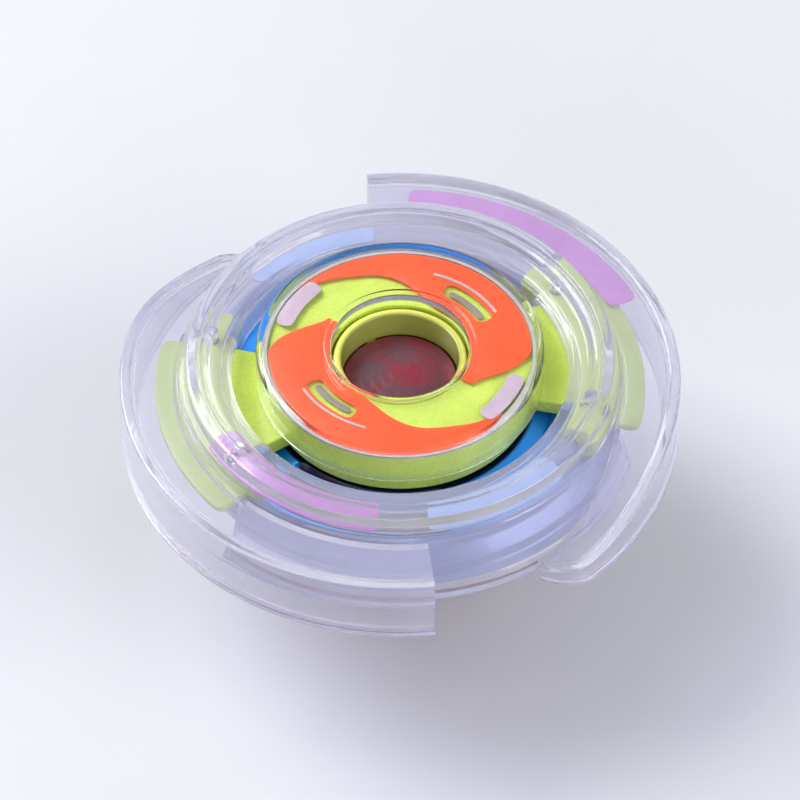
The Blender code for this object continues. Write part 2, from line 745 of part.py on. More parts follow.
def make_frame(body):
    tube_wall = 0.8 * MM
    outer_wall = HUB_RADIUS - HUB_WALL - 0.3 * MM
    inner_wall = outer_wall - tube_wall
    plate_inner = COLLAR_RADIUS + SEAT
    profile = [
        (plate_inner, FRAME_PLATE_BOTTOM),
        (FRAME_TUBE, FRAME_PLATE_BOTTOM),
        (FRAME_TUBE, CLAW_BOTTOM + 0.1 * MM),
        (FRAME_TUBE + tube_wall, CLAW_BOTTOM + 0.1 * MM),
        (FRAME_TUBE + tube_wall, FRAME_PLATE_BOTTOM),
        (inner_wall, FRAME_PLATE_BOTTOM),
        (inner_wall, FRAME_BOTTOM),
        (outer_wall, FRAME_BOTTOM),
        (outer_wall, FRAME_PLATE_TOP - 0.3 * MM),
        (outer_wall - 0.3 * MM, FRAME_PLATE_TOP),
        (plate_inner, FRAME_PLATE_TOP),
    ]
    lime = plastic("frame_lime", (0.48, 0.66, 0.08), 0.35)
    frame = node("color_frame", turned(profile), lime, body)
    claw_root = FRAME_TUBE + tube_wall / 2
    arm_root = outer_wall - tube_wall / 2
    arm_end = (PAD_INNER + PAD_OUTER) / 2
    # An arm and its pads overlap, so their faces are kept out of each other's planes
    arm_bottom = FRAME_BOTTOM + 0.15 * MM
    pad_bottom = FRAME_BOTTOM + 0.05 * MM
    for degrees in ARM_ANGLES:
        arm = (degrees - ARM_HALF_ANGLE, degrees + ARM_HALF_ANGLE)
        pad = (degrees - PAD_HALF_ANGLE, degrees + PAD_HALF_ANGLE)
        outer_pad = (degrees + OUTER_PAD[0], degrees + OUTER_PAD[1])
        add(frame, band(arm_root, arm_end, arm_bottom, ARM_TOP - 0.1 * MM, *arm, steps=6))
        add(frame, band(PAD_INNER, PAD_OUTER, pad_bottom, ARM_TOP, *pad, steps=10))
        add(frame, band(arm_end, OUTER_PAD_RADIUS, OUTER_PAD_BOTTOM, OUTER_PAD_TOP, *outer_pad, steps=8))
    for degrees in TAB_ANGLES:
        claw = (degrees - CLAW_HALF_ANGLE, degrees + CLAW_HALF_ANGLE)
        add(frame, band(CLAW_INNER, claw_root, CLAW_BOTTOM, CLAW_TOP, *claw, steps=6))
        near_stop = degrees + TAB_HALF_ANGLE + STOP_CLEARANCE
        far_stop = degrees - TAB_HALF_ANGLE - TWIST_TRAVEL - STOP_CLEARANCE - STOP_WIDTH
        for start in (near_stop, far_stop):
            stop = (start, start + STOP_WIDTH)
            add(frame, band(CLAW_INNER, claw_root, CLAW_TOP - 0.2 * MM, TAB_TOP, *stop, steps=2))
    recess_top = FRAME_SCREW_HEAD_TOP + SEAT
    for degrees in FRAME_SCREW_ANGLES:
        place = (*polar(FRAME_SCREW_DISTANCE, degrees), 0)
        hole = rod(FRAME_SCREW_SHANK + FIT, recess_top - 0.1 * MM, ARM_TOP + SEAT, TINY_SEGMENTS)
        recess = rod(FRAME_SCREW_HEAD + SEAT, OUTER_PAD_BOTTOM - SEAT, recess_top, HOLE_SEGMENTS)
        cut(frame, hole, place)
        cut(frame, recess, place)


def make_frame_screws(body):
    head_bottom = FRAME_BOTTOM + 0.15 * MM
    profile = [
        (0, head_bottom),
        (FRAME_SCREW_HEAD, head_bottom),
        (FRAME_SCREW_HEAD, FRAME_SCREW_HEAD_TOP),
        (FRAME_SCREW_SHANK, FRAME_SCREW_HEAD_TOP),
        (FRAME_SCREW_SHANK, FRAME_SCREW_TOP),
        (0, FRAME_SCREW_TOP),
    ]
    shape = turned(profile, HOLE_SEGMENTS)
    steel = metal("frame_screw_steel", (0.60, 0.61, 0.63))
    for index, degrees in enumerate(FRAME_SCREW_ANGLES, start=1):
        place = (*polar(FRAME_SCREW_DISTANCE, degrees), 0)
        shape = node(f"frame_screw_{index}", shape, steel, body, place).data


def make_hub_cover(body):
    inner = COLLAR_RADIUS + SEAT
    wall_foot = ARM_TOP + SEAT
    plate_bottom = HUB_DECAL_BOTTOM + DECAL_THICKNESS + SEAT
    profile = [
        (inner, plate_bottom),
        (HUB_RADIUS - HUB_WALL, plate_bottom),
        (HUB_RADIUS - HUB_WALL, wall_foot),
        (HUB_RADIUS, wall_foot),
        (HUB_RADIUS, TOTAL_HEIGHT - 0.7 * MM),
        (HUB_RADIUS - 0.2 * MM, TOTAL_HEIGHT - 0.2 * MM),
        (HUB_RADIUS - 0.7 * MM, TOTAL_HEIGHT),
        (inner, TOTAL_HEIGHT),
    ]
    clear = plastic("cover_clear", (0.95, 0.96, 1.0), 0.06, 0.95)
    node("hub_cover", turned(profile), clear, body)


def make_collar(body):
    flange = 6.9 * MM
    flange_bottom = 21.1 * MM
    flange_top = 21.8 * MM
    profile = [
        (BORE_RADIUS, COLLAR_BOTTOM),
        (COLLAR_RADIUS, COLLAR_BOTTOM),
        (COLLAR_RADIUS, flange_bottom),
        (flange, flange_bottom),
        (flange, flange_top),
        (COLLAR_RADIUS, flange_top),
        (COLLAR_RADIUS, COLLAR_TOP - 0.25 * MM),
        (COLLAR_RADIUS - 0.25 * MM, COLLAR_TOP),
        (BORE_RADIUS + 0.2 * MM, COLLAR_TOP),
        (BORE_RADIUS, COLLAR_TOP - 0.2 * MM),
    ]
    collar_segments = 32
    yellow = plastic("collar_yellow", (0.62, 0.64, 0.10), 0.3)
    node("center_collar", turned(profile, collar_segments), yellow, body)


def swoosh_inner(t):
    """The orange starts at the collar, then draws out to a thin tail along the hub's rim."""
    at_collar = 6.1 * MM
    draw = 3.2 * MM * smoothstep((t - 0.52) / 0.32)
    tail = 1.5 * MM * smoothstep((t - 0.8) / 0.2)
    return at_collar + draw + tail


def swoosh_outer(t):
    """The outer edge swings out from the collar to the hub's rim over the first fifth."""
    at_rim = 11.2 * MM
    tuck = 4.0 * MM * (1 - smoothstep(t / 0.2))
    return at_rim - tuck


def make_decals(body):
    orange = plastic("decal_orange", (0.90, 0.12, 0.03), 0.4)
    purple = plastic("decal_purple", (0.45, 0.16, 0.60), 0.4)
    blue = plastic("decal_blue", (0.50, 0.68, 0.85), 0.4)
    hub = (HUB_DECAL_BOTTOM, HUB_DECAL_BOTTOM + DECAL_THICKNESS)
    for index, start in enumerate(SWOOSH_STARTS, start=1):
        shape = band(swoosh_inner, swoosh_outer, *hub, start, start + SWOOSH_SPAN, steps=30)
        node(f"orange_decal_{index}", shape, orange, body)

    ring = (RING_DECAL_BOTTOM, RING_DECAL_BOTTOM + DECAL_THICKNESS)
    near = node("purple_decal_1", band(*RING_DECAL_BAND, *ring, *RING_PURPLE, steps=12), purple, body)
    screw_place = (*polar(FRAME_SCREW_DISTANCE, FRAME_SCREW_ANGLES[-1]), 0)
    screw_hole = rod(FRAME_SCREW_SHANK + SEAT, ring[0] - SEAT, ring[1] + SEAT, TINY_SEGMENTS)
    cut(near, screw_hole, screw_place)
    under_wing = (WING_DECAL_BOTTOM, WING_DECAL_TOP)
    node("purple_decal_2", band(*WING_DECAL_BAND, *under_wing, *WING_PURPLE, steps=12), purple, body)
    for index, start in enumerate(RING_BLUE_STARTS, start=1):
        shape = band(*RING_DECAL_BAND, *ring, start, start + RING_BLUE_SPAN, steps=10)
        node(f"blue_decal_{index}", shape, blue, body)


def main():
    clear_scene()
    tip_body = empty("tip_axis")
    cage_body = empty("cage_axis", parent=tip_body)
    driver_body = empty("driver_axis", parent=tip_body)
    lever_body = empty("switch_pivot", (*SWITCH_PIVOT, 0), driver_body)
    lock_body = empty("lock_ring_slide", parent=driver_body)
    layer_body = empty("layer_axis", parent=driver_body)

    make_tip(tip_body)
    make_bearing(tip_body, cage_body, driver_body)

    make_driver_base(driver_body)
    make_driver_cover(driver_body)
    make_case_screws(driver_body)
    make_cells(driver_body)
    make_board(driver_body)
    make_leds(driver_body)
    make_lens(driver_body)
    make_switch(driver_body, lever_body)
    make_lock_ring(lock_body, driver_body)

    make_disc(layer_body)
    make_attack_ring(layer_body)
    make_frame(layer_body)
    make_frame_screws(layer_body)
    make_hub_cover(layer_body)
    make_collar(layer_body)
    make_decals(layer_body)


main()
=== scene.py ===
"""Looks of the light-up battle top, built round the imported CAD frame.

Metres, +Z up. The origin is on the spin axis at the foot of the tip.
Angles are in degrees, counter-clockwise from +X seen from above.
"""

import math

import bmesh
import bpy
from mathutils import Matrix, Vector


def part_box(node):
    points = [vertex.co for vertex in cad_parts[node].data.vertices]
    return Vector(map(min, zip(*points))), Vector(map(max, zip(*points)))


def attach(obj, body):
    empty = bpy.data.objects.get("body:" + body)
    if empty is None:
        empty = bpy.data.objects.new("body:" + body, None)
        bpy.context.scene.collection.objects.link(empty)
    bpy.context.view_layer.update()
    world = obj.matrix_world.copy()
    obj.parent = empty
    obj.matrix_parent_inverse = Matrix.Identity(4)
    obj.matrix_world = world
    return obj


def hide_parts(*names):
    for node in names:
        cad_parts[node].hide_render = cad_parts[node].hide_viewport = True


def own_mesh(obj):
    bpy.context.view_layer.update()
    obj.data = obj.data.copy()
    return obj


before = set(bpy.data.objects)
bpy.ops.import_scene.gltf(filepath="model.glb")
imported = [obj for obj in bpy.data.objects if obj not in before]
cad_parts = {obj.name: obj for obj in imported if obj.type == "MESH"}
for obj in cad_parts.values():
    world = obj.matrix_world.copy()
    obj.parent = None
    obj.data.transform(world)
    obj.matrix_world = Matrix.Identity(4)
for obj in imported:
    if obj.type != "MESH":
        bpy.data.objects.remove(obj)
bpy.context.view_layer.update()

MM = 0.001


# Sizes: outer faces come from the frame, inner ones are named here

def bottom_of(node):
    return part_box(node)[0][2]


def top_of(node):
    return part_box(node)[1][2]


def reach_of(node):
    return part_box(node)[1][0]


def middle_of(node):
    low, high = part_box(node)
    return (low[0] + high[0]) / 2, (low[1] + high[1]) / 2


def half_width_of(node):
    low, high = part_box(node)
    return (high[0] - low[0]) / 2


FIT = 0.15 * MM
SEAT = 0.2 * MM

WING_RADIUS = reach_of("attack_ring")
RING_CREST = top_of("attack_ring")
RING_INNER = 14.4 * MM
RING_LIP = RING_CREST - 1.3 * MM
RING_CEILING = RING_CREST - 2.0 * MM
RING_INNER_WALL = 0.9 * MM
SKIRT_TOP_RADIUS = 18.5 * MM
SKIRT_TOP = RING_CREST - 0.6 * MM
SKIRT_BOTTOM_RADIUS = 20.9 * MM
SKIRT_BOTTOM = 15.1 * MM
SKIRT_WALL = 1.2 * MM
WING_ANGLES = (0, 180)
WING_START = 124
WING_FULL = 172
WING_END = 277
WING_LEAD = 9
WING_TIP_DRAW = 2.6 * MM
WING_WALL = 1.1 * MM
WING_FOOT = bottom_of("attack_ring")
WING_LOW = WING_FOOT + 2.0 * MM
WING_TOP = WING_FOOT + 6.4 * MM
SHELF_THICKNESS = 0.9 * MM

HUB_RADIUS = reach_of("hub_cover")
HUB_TOP = top_of("hub_cover")
HUB_WALL = 0.6 * MM
COLLAR_RADIUS = 5.7 * MM
BORE_RADIUS = 5.0 * MM

FRAME_FOOT = 18.7 * MM
FRAME_TOP = top_of("color_frame")
FRAME_PLATE = 0.9 * MM
FRAME_TUBE = 7.6 * MM
FRAME_WALL = 0.8 * MM
ARM_TOP = 20.4 * MM
ARM_HALF_ANGLE = 24
ARM_ANGLES = (11, 191)
PAD_HALF_ANGLE = 36
PAD_INNER = 15.5 * MM
PAD_OUTER = 17.7 * MM
OUTER_PAD = (-25, 33)
OUTER_PAD_RADIUS = reach_of("color_frame")
OUTER_PAD_BOTTOM = 18.55 * MM
OUTER_PAD_TOP = 19.2 * MM
PAD_CLEARANCE = 2
FRAME_SCREWS = ("frame_screw_1", "frame_screw_2", "frame_screw_3", "frame_screw_4")
FRAME_SCREW_HEAD_HEIGHT = 0.55 * MM
FRAME_SCREW_SHANK = 0.45 * MM

DISC_INNER = 9.0 * MM
DISC_OUTER = reach_of("metal_disc")
DISC_RIM = 15.6 * MM
DISC_WEB_BOTTOM = 15.5 * MM
DISC_WINDOWS = ((42, 110), (222, 290))
DISC_WINDOW_BAND = (11.2 * MM, 14.2 * MM)
# Inside this radius the disc's top is painted shade, dark navy, for the shade under the hub.
DISC_PAINTED_SHADE_RADIUS = 11.8 * MM

SWOOSH_STARTS = (148, 328)
SWOOSH_SPAN = 172
HUB_SLOT_BAND = (7.4 * MM, 8.9 * MM)
HUB_SLOT = (57, 94)
HUB_PATCH_BAND = (9.6 * MM, 11.1 * MM)
HUB_PATCH = (-15, 16)
# The rim band is a silver ring of painted highlight along the clear hub cover's edge.
HUB_RIM_BAND = (11.3 * MM, 11.6 * MM)
RING_DECAL_BAND = (15.6 * MM, 17.6 * MM)
RING_PURPLE = (207, 264)
RING_BLUE_STARTS = (98, 278)
RING_BLUE_SPAN = 42
WING_DECAL_BAND = (20.0 * MM, 22.6 * MM)
WING_PURPLE = (25, 88)

CASE_RADIUS = reach_of("driver_base")
CASE_WALL = 0.9 * MM
CASE_FLOOR = 8.7 * MM
COVER_TOP = 14.4 * MM
COLUMN_RADIUS = 4.6 * MM
COLUMN_BORE = 3.55 * MM
BOSS_RADIUS = 2.0 * MM
CASE_SCREWS = ("case_screw_1", "case_screw_2", "case_screw_3")
CASE_SCREW_HEAD_HEIGHT = 0.85 * MM
CASE_SCREW_SHANK = 0.6 * MM

TAB_ANGLES = (90, 270)
TAB_HALF_ANGLE = 22
TAB_RADIUS = 6.7 * MM
TAB_BOTTOM = 18.9 * MM
TAB_TOP = 19.9 * MM
CLAW_HALF_ANGLE = 25
CLAW_INNER = 5.0 * MM
CLAW_TOP = 18.7 * MM
TWIST_TRAVEL = 60
STOP_WIDTH = 10
STOP_CLEARANCE = 2

SEGMENTS = 192
SMALL_SEGMENTS = 64


# Small tools

def polar(radius, degrees):
    angle = math.radians(degrees)
    return radius * math.cos(angle), radius * math.sin(angle)


def smoothstep(t):
    t = min(max(t, 0.0), 1.0)
    return t * t * (3.0 - 2.0 * t)


def value_at(radius, t):
    return radius(t) if callable(radius) else radius


def rounded(corners, closed=True, steps=4):
    """Round each (x, y, rounding) corner of an outline; a rounding of 0 keeps the corner sharp."""
    points = []
    count = len(corners)
    for i, (x, y, rounding) in enumerate(corners):
        end = not closed and i in (0, count - 1)
        if end or rounding == 0:
            points.append((x, y))
            continue
        here = Vector((x, y))
        before = Vector(corners[i - 1][:2]) - here
        after = Vector(corners[(i + 1) % count][:2]) - here
        reach = min(rounding, 0.45 * before.length, 0.45 * after.length)
        start = here + before.normalized() * reach
        stop = here + after.normalized() * reach
        for step in range(steps + 1):
            t = step / steps
            point = start * (1 - t) ** 2 + here * 2 * t * (1 - t) + stop * t ** 2
            points.append((point.x, point.y))
    return points


# Shapes: each returns a bmesh with one closed skin

def lofted(sections, closed):
    """Join equal loops of points, section to section, and cap the ends unless they meet."""
    bm = bmesh.new()
    loops = [[bm.verts.new(point) for point in section] for section in sections]
    count = len(loops[0])
    pairs = list(zip(loops, loops[1:]))
    if closed:
        pairs.append((loops[-1], loops[0]))
    for near, far in pairs:
        for i in range(count):
            j = (i + 1) % count
            bm.faces.new((near[i], near[j], far[j], far[i]))
    if not closed:
        bm.faces.new(loops[0])
        bm.faces.new(loops[-1])
    bmesh.ops.recalc_face_normals(bm, faces=bm.faces)
    return bm


def turned(profile, segments=SEGMENTS, place=(0.0, 0.0)):
    """Turn (radius, height) points round Z: a loop off the axis, or a line that starts and ends on it."""
    bm = bmesh.new()
    loops = []
    for radius, height in profile:
        count = 1 if radius == 0.0 else segments
        loop = []
        for step in range(count):
            x, y = polar(radius, 360 * step / segments)
            loop.append(bm.verts.new((place[0] + x, place[1] + y, height)))
        loops.append(loop)
    pairs = list(zip(loops, loops[1:]))
    if profile[0][0] > 0.0:
        pairs.append((loops[-1], loops[0]))
    for low, high in pairs:
        for i in range(segments):
            j = (i + 1) % segments
            if len(low) == 1:
                bm.faces.new((low[0], high[i], high[j]))
            elif len(high) == 1:
                bm.faces.new((low[i], high[0], low[j]))
            else:
                bm.faces.new((low[i], high[i], high[j], low[j]))
    bmesh.ops.recalc_face_normals(bm, faces=bm.faces)
    return bm


def rod(radius, bottom, top, segments=SMALL_SEGMENTS, place=(0.0, 0.0), rounding=0.1 * MM):
    corners = [(0, bottom, 0), (radius, bottom, rounding), (radius, top, rounding), (0, top, 0)]
    return turned(rounded(corners, closed=False), segments, place)


def arc_outline(inner, outer, start, end, inset, corner, steps):
    """Plan outline of a bar along an arc with rounded corners; a radius may be a function of 0..1."""
    near = value_at(inner, 0.5)
    far = value_at(outer, 0.5)
    length = math.radians(end - start) * (near + far) / 2
    width = far - near
    low_u, high_u = inset, length - inset
    low_v, high_v = inset, width - inset
    rounding = max(corner - inset, 0.02 * MM)
    corners = [(low_u, low_v, rounding), (high_u, low_v, rounding)]
    corners += [(high_u, high_v, rounding), (low_u, high_v, rounding)]
    corner_steps = 5
    corner_points = corner_steps + 1
    arcs = rounded(corners, steps=corner_steps)
    flat = []
    for index in range(4):
        arc = arcs[index * corner_points:(index + 1) * corner_points]
        flat += arc
        along_edge = index in (0, 2)
        if along_edge:
            begin = Vector(arc[-1])
            stop = Vector(arcs[(index + 1) * corner_points])
            flat += [tuple(begin.lerp(stop, step / steps)) for step in range(1, steps)]
    outline = []
    for u, v in flat:
        t = u / length
        base = value_at(inner, t)
        radius = base + (value_at(outer, t) - base) * v / width
        outline.append(polar(radius, start + (end - start) * t))
    return outline


def slab(inner, outer, bottom, top, start, end, corner=0.6 * MM, edge=0.15 * MM, steps=40):
    """Bar along an arc, with rounded corners in plan and softened edges."""
    levels = []
    edge_steps = 3
    for step in range(edge_steps + 1):
        reach, rise = polar(edge, 90 * step / edge_steps)
        levels.append((bottom + edge - reach, edge - rise))
    levels += [(bottom + top - height, inset) for height, inset in reversed(levels)]
    sections = []
    for height, inset in levels:
        outline = arc_outline(inner, outer, start, end, inset, corner, steps)
        sections.append([(x, y, height) for x, y in outline])
    return lofted(sections, closed=False)


def coil(radius, wire, bottom, top, turns, steps=72, sides=14):
    """Round wire wound along Z, with its first and last turns laid flat."""
    sections = []
    for step in range(turns * steps + 1):
        t = step / (turns * steps)
        rise = smoothstep(t) * 0.6 + t * 0.4
        height = bottom + wire + (top - bottom - 2 * wire) * rise
        section = []
        for side in range(sides):
            reach, lift = polar(wire, 360 * side / sides)
            section.append((*polar(radius + reach, 360 * turns * t), height + lift))
        sections.append(section)
    return lofted(sections, closed=False)


def block(width, depth, height, centre, turn=0.0):
    """A plain cutting block, turned about its own upright axis."""
    bm = bmesh.new()
    bmesh.ops.create_cube(bm, size=1.0)
    bmesh.ops.scale(bm, verts=bm.verts, vec=(width, depth, height))
    bmesh.ops.rotate(bm, verts=bm.verts, matrix=Matrix.Rotation(math.radians(turn), 3, "Z"))
    bmesh.ops.translate(bm, verts=bm.verts, vec=centre)
    return bm


# Pieces

def smooth(mesh):
    mesh.shade_smooth()
    mesh.set_sharp_from_angle(angle=math.radians(32))


def mesh_object(name, shape):
    mesh = bpy.data.meshes.new(name)
    shape.to_mesh(mesh)
    shape.free()
    item = bpy.data.objects.new(name, mesh)
    bpy.context.scene.collection.objects.link(item)
    return item


def carve(item, shapes, operation):
    """Join shapes to a piece, or cut them out of it, and keep the resulting mesh."""
    tools = []
    for shape in shapes:
        tool = mesh_object(f"{item.name}_tool", shape)
        modifier = item.modifiers.new("carve", "BOOLEAN")
        modifier.operation = operation
        modifier.solver = "EXACT"
        modifier.object = tool
        tools.append(tool)
    bpy.context.view_layer.update()
    evaluated = item.evaluated_get(bpy.context.evaluated_depsgraph_get())
    mesh = bpy.data.meshes.new_from_object(evaluated)
    item.modifiers.clear()
    item.data = mesh
    for tool in tools:
        bpy.data.objects.remove(tool)


def piece(name, shape, material, slot, body, *nodes, add=(), cut=()):
    """One visible piece: it rides on a body and stands for the CAD nodes that it replaces."""
    item = mesh_object(name, shape)
    if add:
        carve(item, add, "UNION")
    if cut:
        carve(item, cut, "DIFFERENCE")
    smooth(item.data)
    item.data.materials.clear()
    item.data.materials.append(material)
    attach(item, body)
    if nodes:
        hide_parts(*nodes)
    return item


# Materials

def srgb(red, green, blue):
    """Linear colour from the usual 0..255 values."""
    def linear(value):
        value /= 255
        return value / 12.92 if value <= 0.04045 else ((value + 0.055) / 1.055) ** 2.4
    return (linear(red), linear(green), linear(blue), 1.0)


def scaled(color, factor):
    return tuple(min(channel * factor, 1.0) for channel in color[:3]) + (1.0,)


def own_coordinates(tree, lathe):
    """The piece's own coordinates; lathe turns them into radius and height, for rings round the axis."""
    source = tree.nodes.new("ShaderNodeTexCoord").outputs["Object"]
    if not lathe:
        return source
    flat = tree.nodes.new("ShaderNodeVectorMath")
    flat.operation = "MULTIPLY"
    flat.inputs[1].default_value = (1.0, 1.0, 0.0)
    tree.links.new(source, flat.inputs[0])
    radius = tree.nodes.new("ShaderNodeVectorMath")
    radius.operation = "LENGTH"
    tree.links.new(flat.outputs["Vector"], radius.inputs[0])
    parts = tree.nodes.new("ShaderNodeSeparateXYZ")
    tree.links.new(source, parts.inputs["Vector"])
    joined = tree.nodes.new("ShaderNodeCombineXYZ")
    tree.links.new(radius.outputs["Value"], joined.inputs["X"])
    tree.links.new(parts.outputs["Z"], joined.inputs["Z"])
    return joined.outputs["Vector"]


def noise(tree, size, lathe=False):
    """Noise whose features are about this size."""
    node = tree.nodes.new("ShaderNodeTexNoise")
    node.inputs["Scale"].default_value = 1.0 / size
    node.inputs["Detail"].default_value = 3.0
    tree.links.new(own_coordinates(tree, lathe), node.inputs["Vector"])
    return node.outputs["Fac"]


def ranged(tree, source, low, high, start=0.3, end=0.7):
    node = tree.nodes.new("ShaderNodeMapRange")
    node.inputs["From Min"].default_value = start
    node.inputs["From Max"].default_value = end
    node.inputs["To Min"].default_value = low
    node.inputs["To Max"].default_value = high
    tree.links.new(source, node.inputs["Value"])
    return node.outputs["Result"]


def finish(
    name, color, other=None, patch=3.0 * MM, roughness=(0.2, 0.3), grain=0.5 * MM,
    bump=0.1, depth=0.02 * MM, lathe=False, lamps_through=None, outside=(), **shader_values,
):
    """Principled surface whose colour, roughness and relief all vary by noise laid on the piece itself."""
    material = bpy.data.materials.new(name)
    material.use_nodes = True
    tree = material.node_tree
    shader = tree.nodes["Principled BSDF"]
    mix = tree.nodes.new("ShaderNodeMix")
    mix.data_type = "RGBA"
    mix.inputs["A"].default_value = color
    mix.inputs["B"].default_value = other or scaled(color, 0.88)
    tree.links.new(ranged(tree, noise(tree, patch), 0.0, 1.0), mix.inputs["Factor"])
    tinted = mix.outputs["Result"]
    for radius, zone_color in outside:
        tinted = recolored_outside(tree, tinted, radius, zone_color)
    tree.links.new(tinted, shader.inputs["Base Color"])
    fine = noise(tree, grain, lathe)
    tree.links.new(ranged(tree, fine, *roughness), shader.inputs["Roughness"])
    relief = tree.nodes.new("ShaderNodeBump")
    relief.inputs["Strength"].default_value = bump
    relief.inputs["Distance"].default_value = depth
    tree.links.new(fine, relief.inputs["Height"])
    tree.links.new(relief.outputs["Normal"], shader.inputs["Normal"])
    for socket, value in shader_values.items():
        shader.inputs[socket.replace("_", " ")].default_value = value
    if lamps_through:
        let_lamps_through(tree, shader, lamps_through)
    material.diffuse_color = color
    return material


def recolored_outside(tree, source, radius, color):
    """Turn to another colour past this radius from the piece's axis."""
    parts = tree.nodes.new("ShaderNodeSeparateXYZ")
    tree.links.new(own_coordinates(tree, True), parts.inputs["Vector"])
    blend = 0.3 * MM
    mix = tree.nodes.new("ShaderNodeMix")
    mix.data_type = "RGBA"
    mix.inputs["B"].default_value = color
    tree.links.new(source, mix.inputs["A"])
    past = ranged(tree, parts.outputs["X"], 0.0, 1.0, radius - blend, radius)
    tree.links.new(past, mix.inputs["Factor"])
    return mix.outputs["Result"]


def let_lamps_through(tree, shader, tint):
    """Light from the lamps passes a see-through piece with this tint instead of leaving a black shadow."""
    path = tree.nodes.new("ShaderNodeLightPath")
    clear = tree.nodes.new("ShaderNodeBsdfTransparent")
    clear.inputs["Color"].default_value = tint
    mix = tree.nodes.new("ShaderNodeMixShader")
    tree.links.new(path.outputs["Is Shadow Ray"], mix.inputs["Fac"])
    tree.links.new(shader.outputs["BSDF"], mix.inputs[1])
    tree.links.new(clear.outputs["BSDF"], mix.inputs[2])
    output = tree.nodes["Material Output"]
    tree.links.new(mix.outputs["Shader"], output.inputs["Surface"])


def clear_plastic(name, tint, shadow, clarity):
    return finish(
        name, tint, scaled(tint, 0.93), patch=6 * MM, roughness=(0.05, 0.12), grain=2.5 * MM,
        bump=0.05, depth=0.04 * MM, lamps_through=shadow,
        Transmission_Weight=clarity, IOR=1.45,
    )


def see_through(name, tint, shadow, weight=0.85):
    return finish(
        name, tint, scaled(tint, 0.8), patch=4 * MM, roughness=(0.10, 0.18), grain=0.8 * MM,
        bump=0.08, depth=0.03 * MM, lamps_through=shadow,
        Transmission_Weight=weight, IOR=1.5,
    )


def moulded(name, color, roughness=(0.22, 0.34), outside=()):
    return finish(
        name, color, scaled(color, 0.9), patch=2.5 * MM, roughness=roughness, grain=0.25 * MM,
        bump=0.12, depth=0.02 * MM, outside=outside,
        Specular_IOR_Level=0.5, Coat_Weight=0.15, Coat_Roughness=0.12,
    )


def film(name, color, shine=(0.18, 0.3)):
    return finish(
        name, color, scaled(color, 0.86), patch=1.2 * MM, roughness=shine, grain=0.12 * MM,
        bump=0.1, depth=0.01 * MM, Coat_Weight=0.4, Coat_Roughness=0.1,
    )


def lathe_metal(name, color, roughness=(0.16, 0.32), lacquer=0.0, metal=1.0, outside=()):
    return finish(
        name, color, scaled(color, 0.82), patch=2 * MM, roughness=roughness, grain=0.18 * MM,
        bump=0.25, depth=0.01 * MM, lathe=True, outside=outside,
        Metallic=metal, Coat_Weight=lacquer, Coat_Roughness=0.06,
    )


def plain_metal(name, color, roughness=(0.22, 0.4)):
    return finish(
        name, color, scaled(color, 0.8), patch=0.8 * MM, roughness=roughness, grain=0.15 * MM,
        bump=0.15, depth=0.008 * MM, Metallic=1.0,
    )


CLEAR = clear_plastic("clear_polycarbonate", srgb(234, 233, 244), srgb(224, 223, 238), 0.85)
COVER = clear_plastic("clear_cover", srgb(252, 252, 255), srgb(248, 248, 252), 1.0)
LIME = moulded("lime_plastic", srgb(180, 202, 76))
# The collar carries painted shade: olive on the bore wall for the shade in the deep bore, then its own
# bright yellow past the bore's edge.
YELLOW_WITH_PAINTED_BORE_SHADE = moulded(
    "yellow_plastic", srgb(158, 164, 78), (0.15, 0.25),
    outside=[(BORE_RADIUS + 0.35 * MM, srgb(208, 210, 96))],
)
ORANGE = film("orange_film", srgb(252, 78, 22))
PURPLE = film("purple_film", srgb(190, 100, 178))
# The blue film's pale tint is partly the film's own blue and partly painted highlight, for the streaks of
# light over the disc's blue seen through the clear ring.
BLUE_FILM_WITH_PAINTED_HIGHLIGHT = film("blue_film", srgb(146, 178, 208))
# Silver lines that are painted highlight along the slots' edges and the hub cover's rim.
SILVER_PAINTED_HIGHLIGHT = film("painted_highlight_silver", srgb(164, 162, 156))
# Grey strips that are painted shade in the hub's slots.
GREY_PAINTED_SHADE = film("painted_shade_grey", srgb(128, 120, 108))
LILAC_PRINT = film("lilac_print", srgb(176, 158, 172))
# The disc is painted dark navy as shade under the hub up to the shade radius, then its own bright blue
# anodising, then steel at the rim.
DISC_BLUE_WITH_PAINTED_SHADE = lathe_metal(
    "blue_anodised", srgb(18, 30, 58), (0.25, 0.42), lacquer=0.5, metal=0.35,
    outside=[(DISC_PAINTED_SHADE_RADIUS, srgb(36, 160, 255)), (DISC_RIM - 0.2 * MM, srgb(128, 142, 178))],
)
RED_CASE = see_through("red_case", srgb(206, 38, 42), srgb(228, 90, 84))
RED_LENS = finish(
    "red_lens", srgb(104, 76, 88), srgb(150, 46, 64), patch=2.4 * MM, roughness=(0.2, 0.34),
    grain=0.8 * MM, bump=0.08, depth=0.03 * MM, lamps_through=srgb(200, 120, 120),
    Transmission_Weight=0.2, IOR=1.5,
)
ACETAL = finish(
    "acetal", srgb(236, 236, 238), srgb(220, 221, 226), roughness=(0.28, 0.4), grain=0.3 * MM,
    lathe=True, bump=0.15, depth=0.01 * MM, Subsurface_Weight=0.3, Subsurface_Scale=0.5 * MM,
)
NYLON = moulded("nylon", srgb(222, 222, 214), (0.35, 0.5))
POLISHED_STEEL = lathe_metal("polished_steel", srgb(206, 208, 212), (0.08, 0.2))
SCREW_STEEL = plain_metal("screw_steel", srgb(186, 188, 192))
SPRING_STEEL = plain_metal("spring_steel", srgb(196, 198, 202), (0.18, 0.3))
CELL_CAN = plain_metal("cell_can", srgb(214, 213, 206), (0.25, 0.4))
NICKEL = plain_metal("contact_nickel", srgb(208, 204, 190))
BRASS = plain_metal("switch_brass", srgb(212, 176, 96))
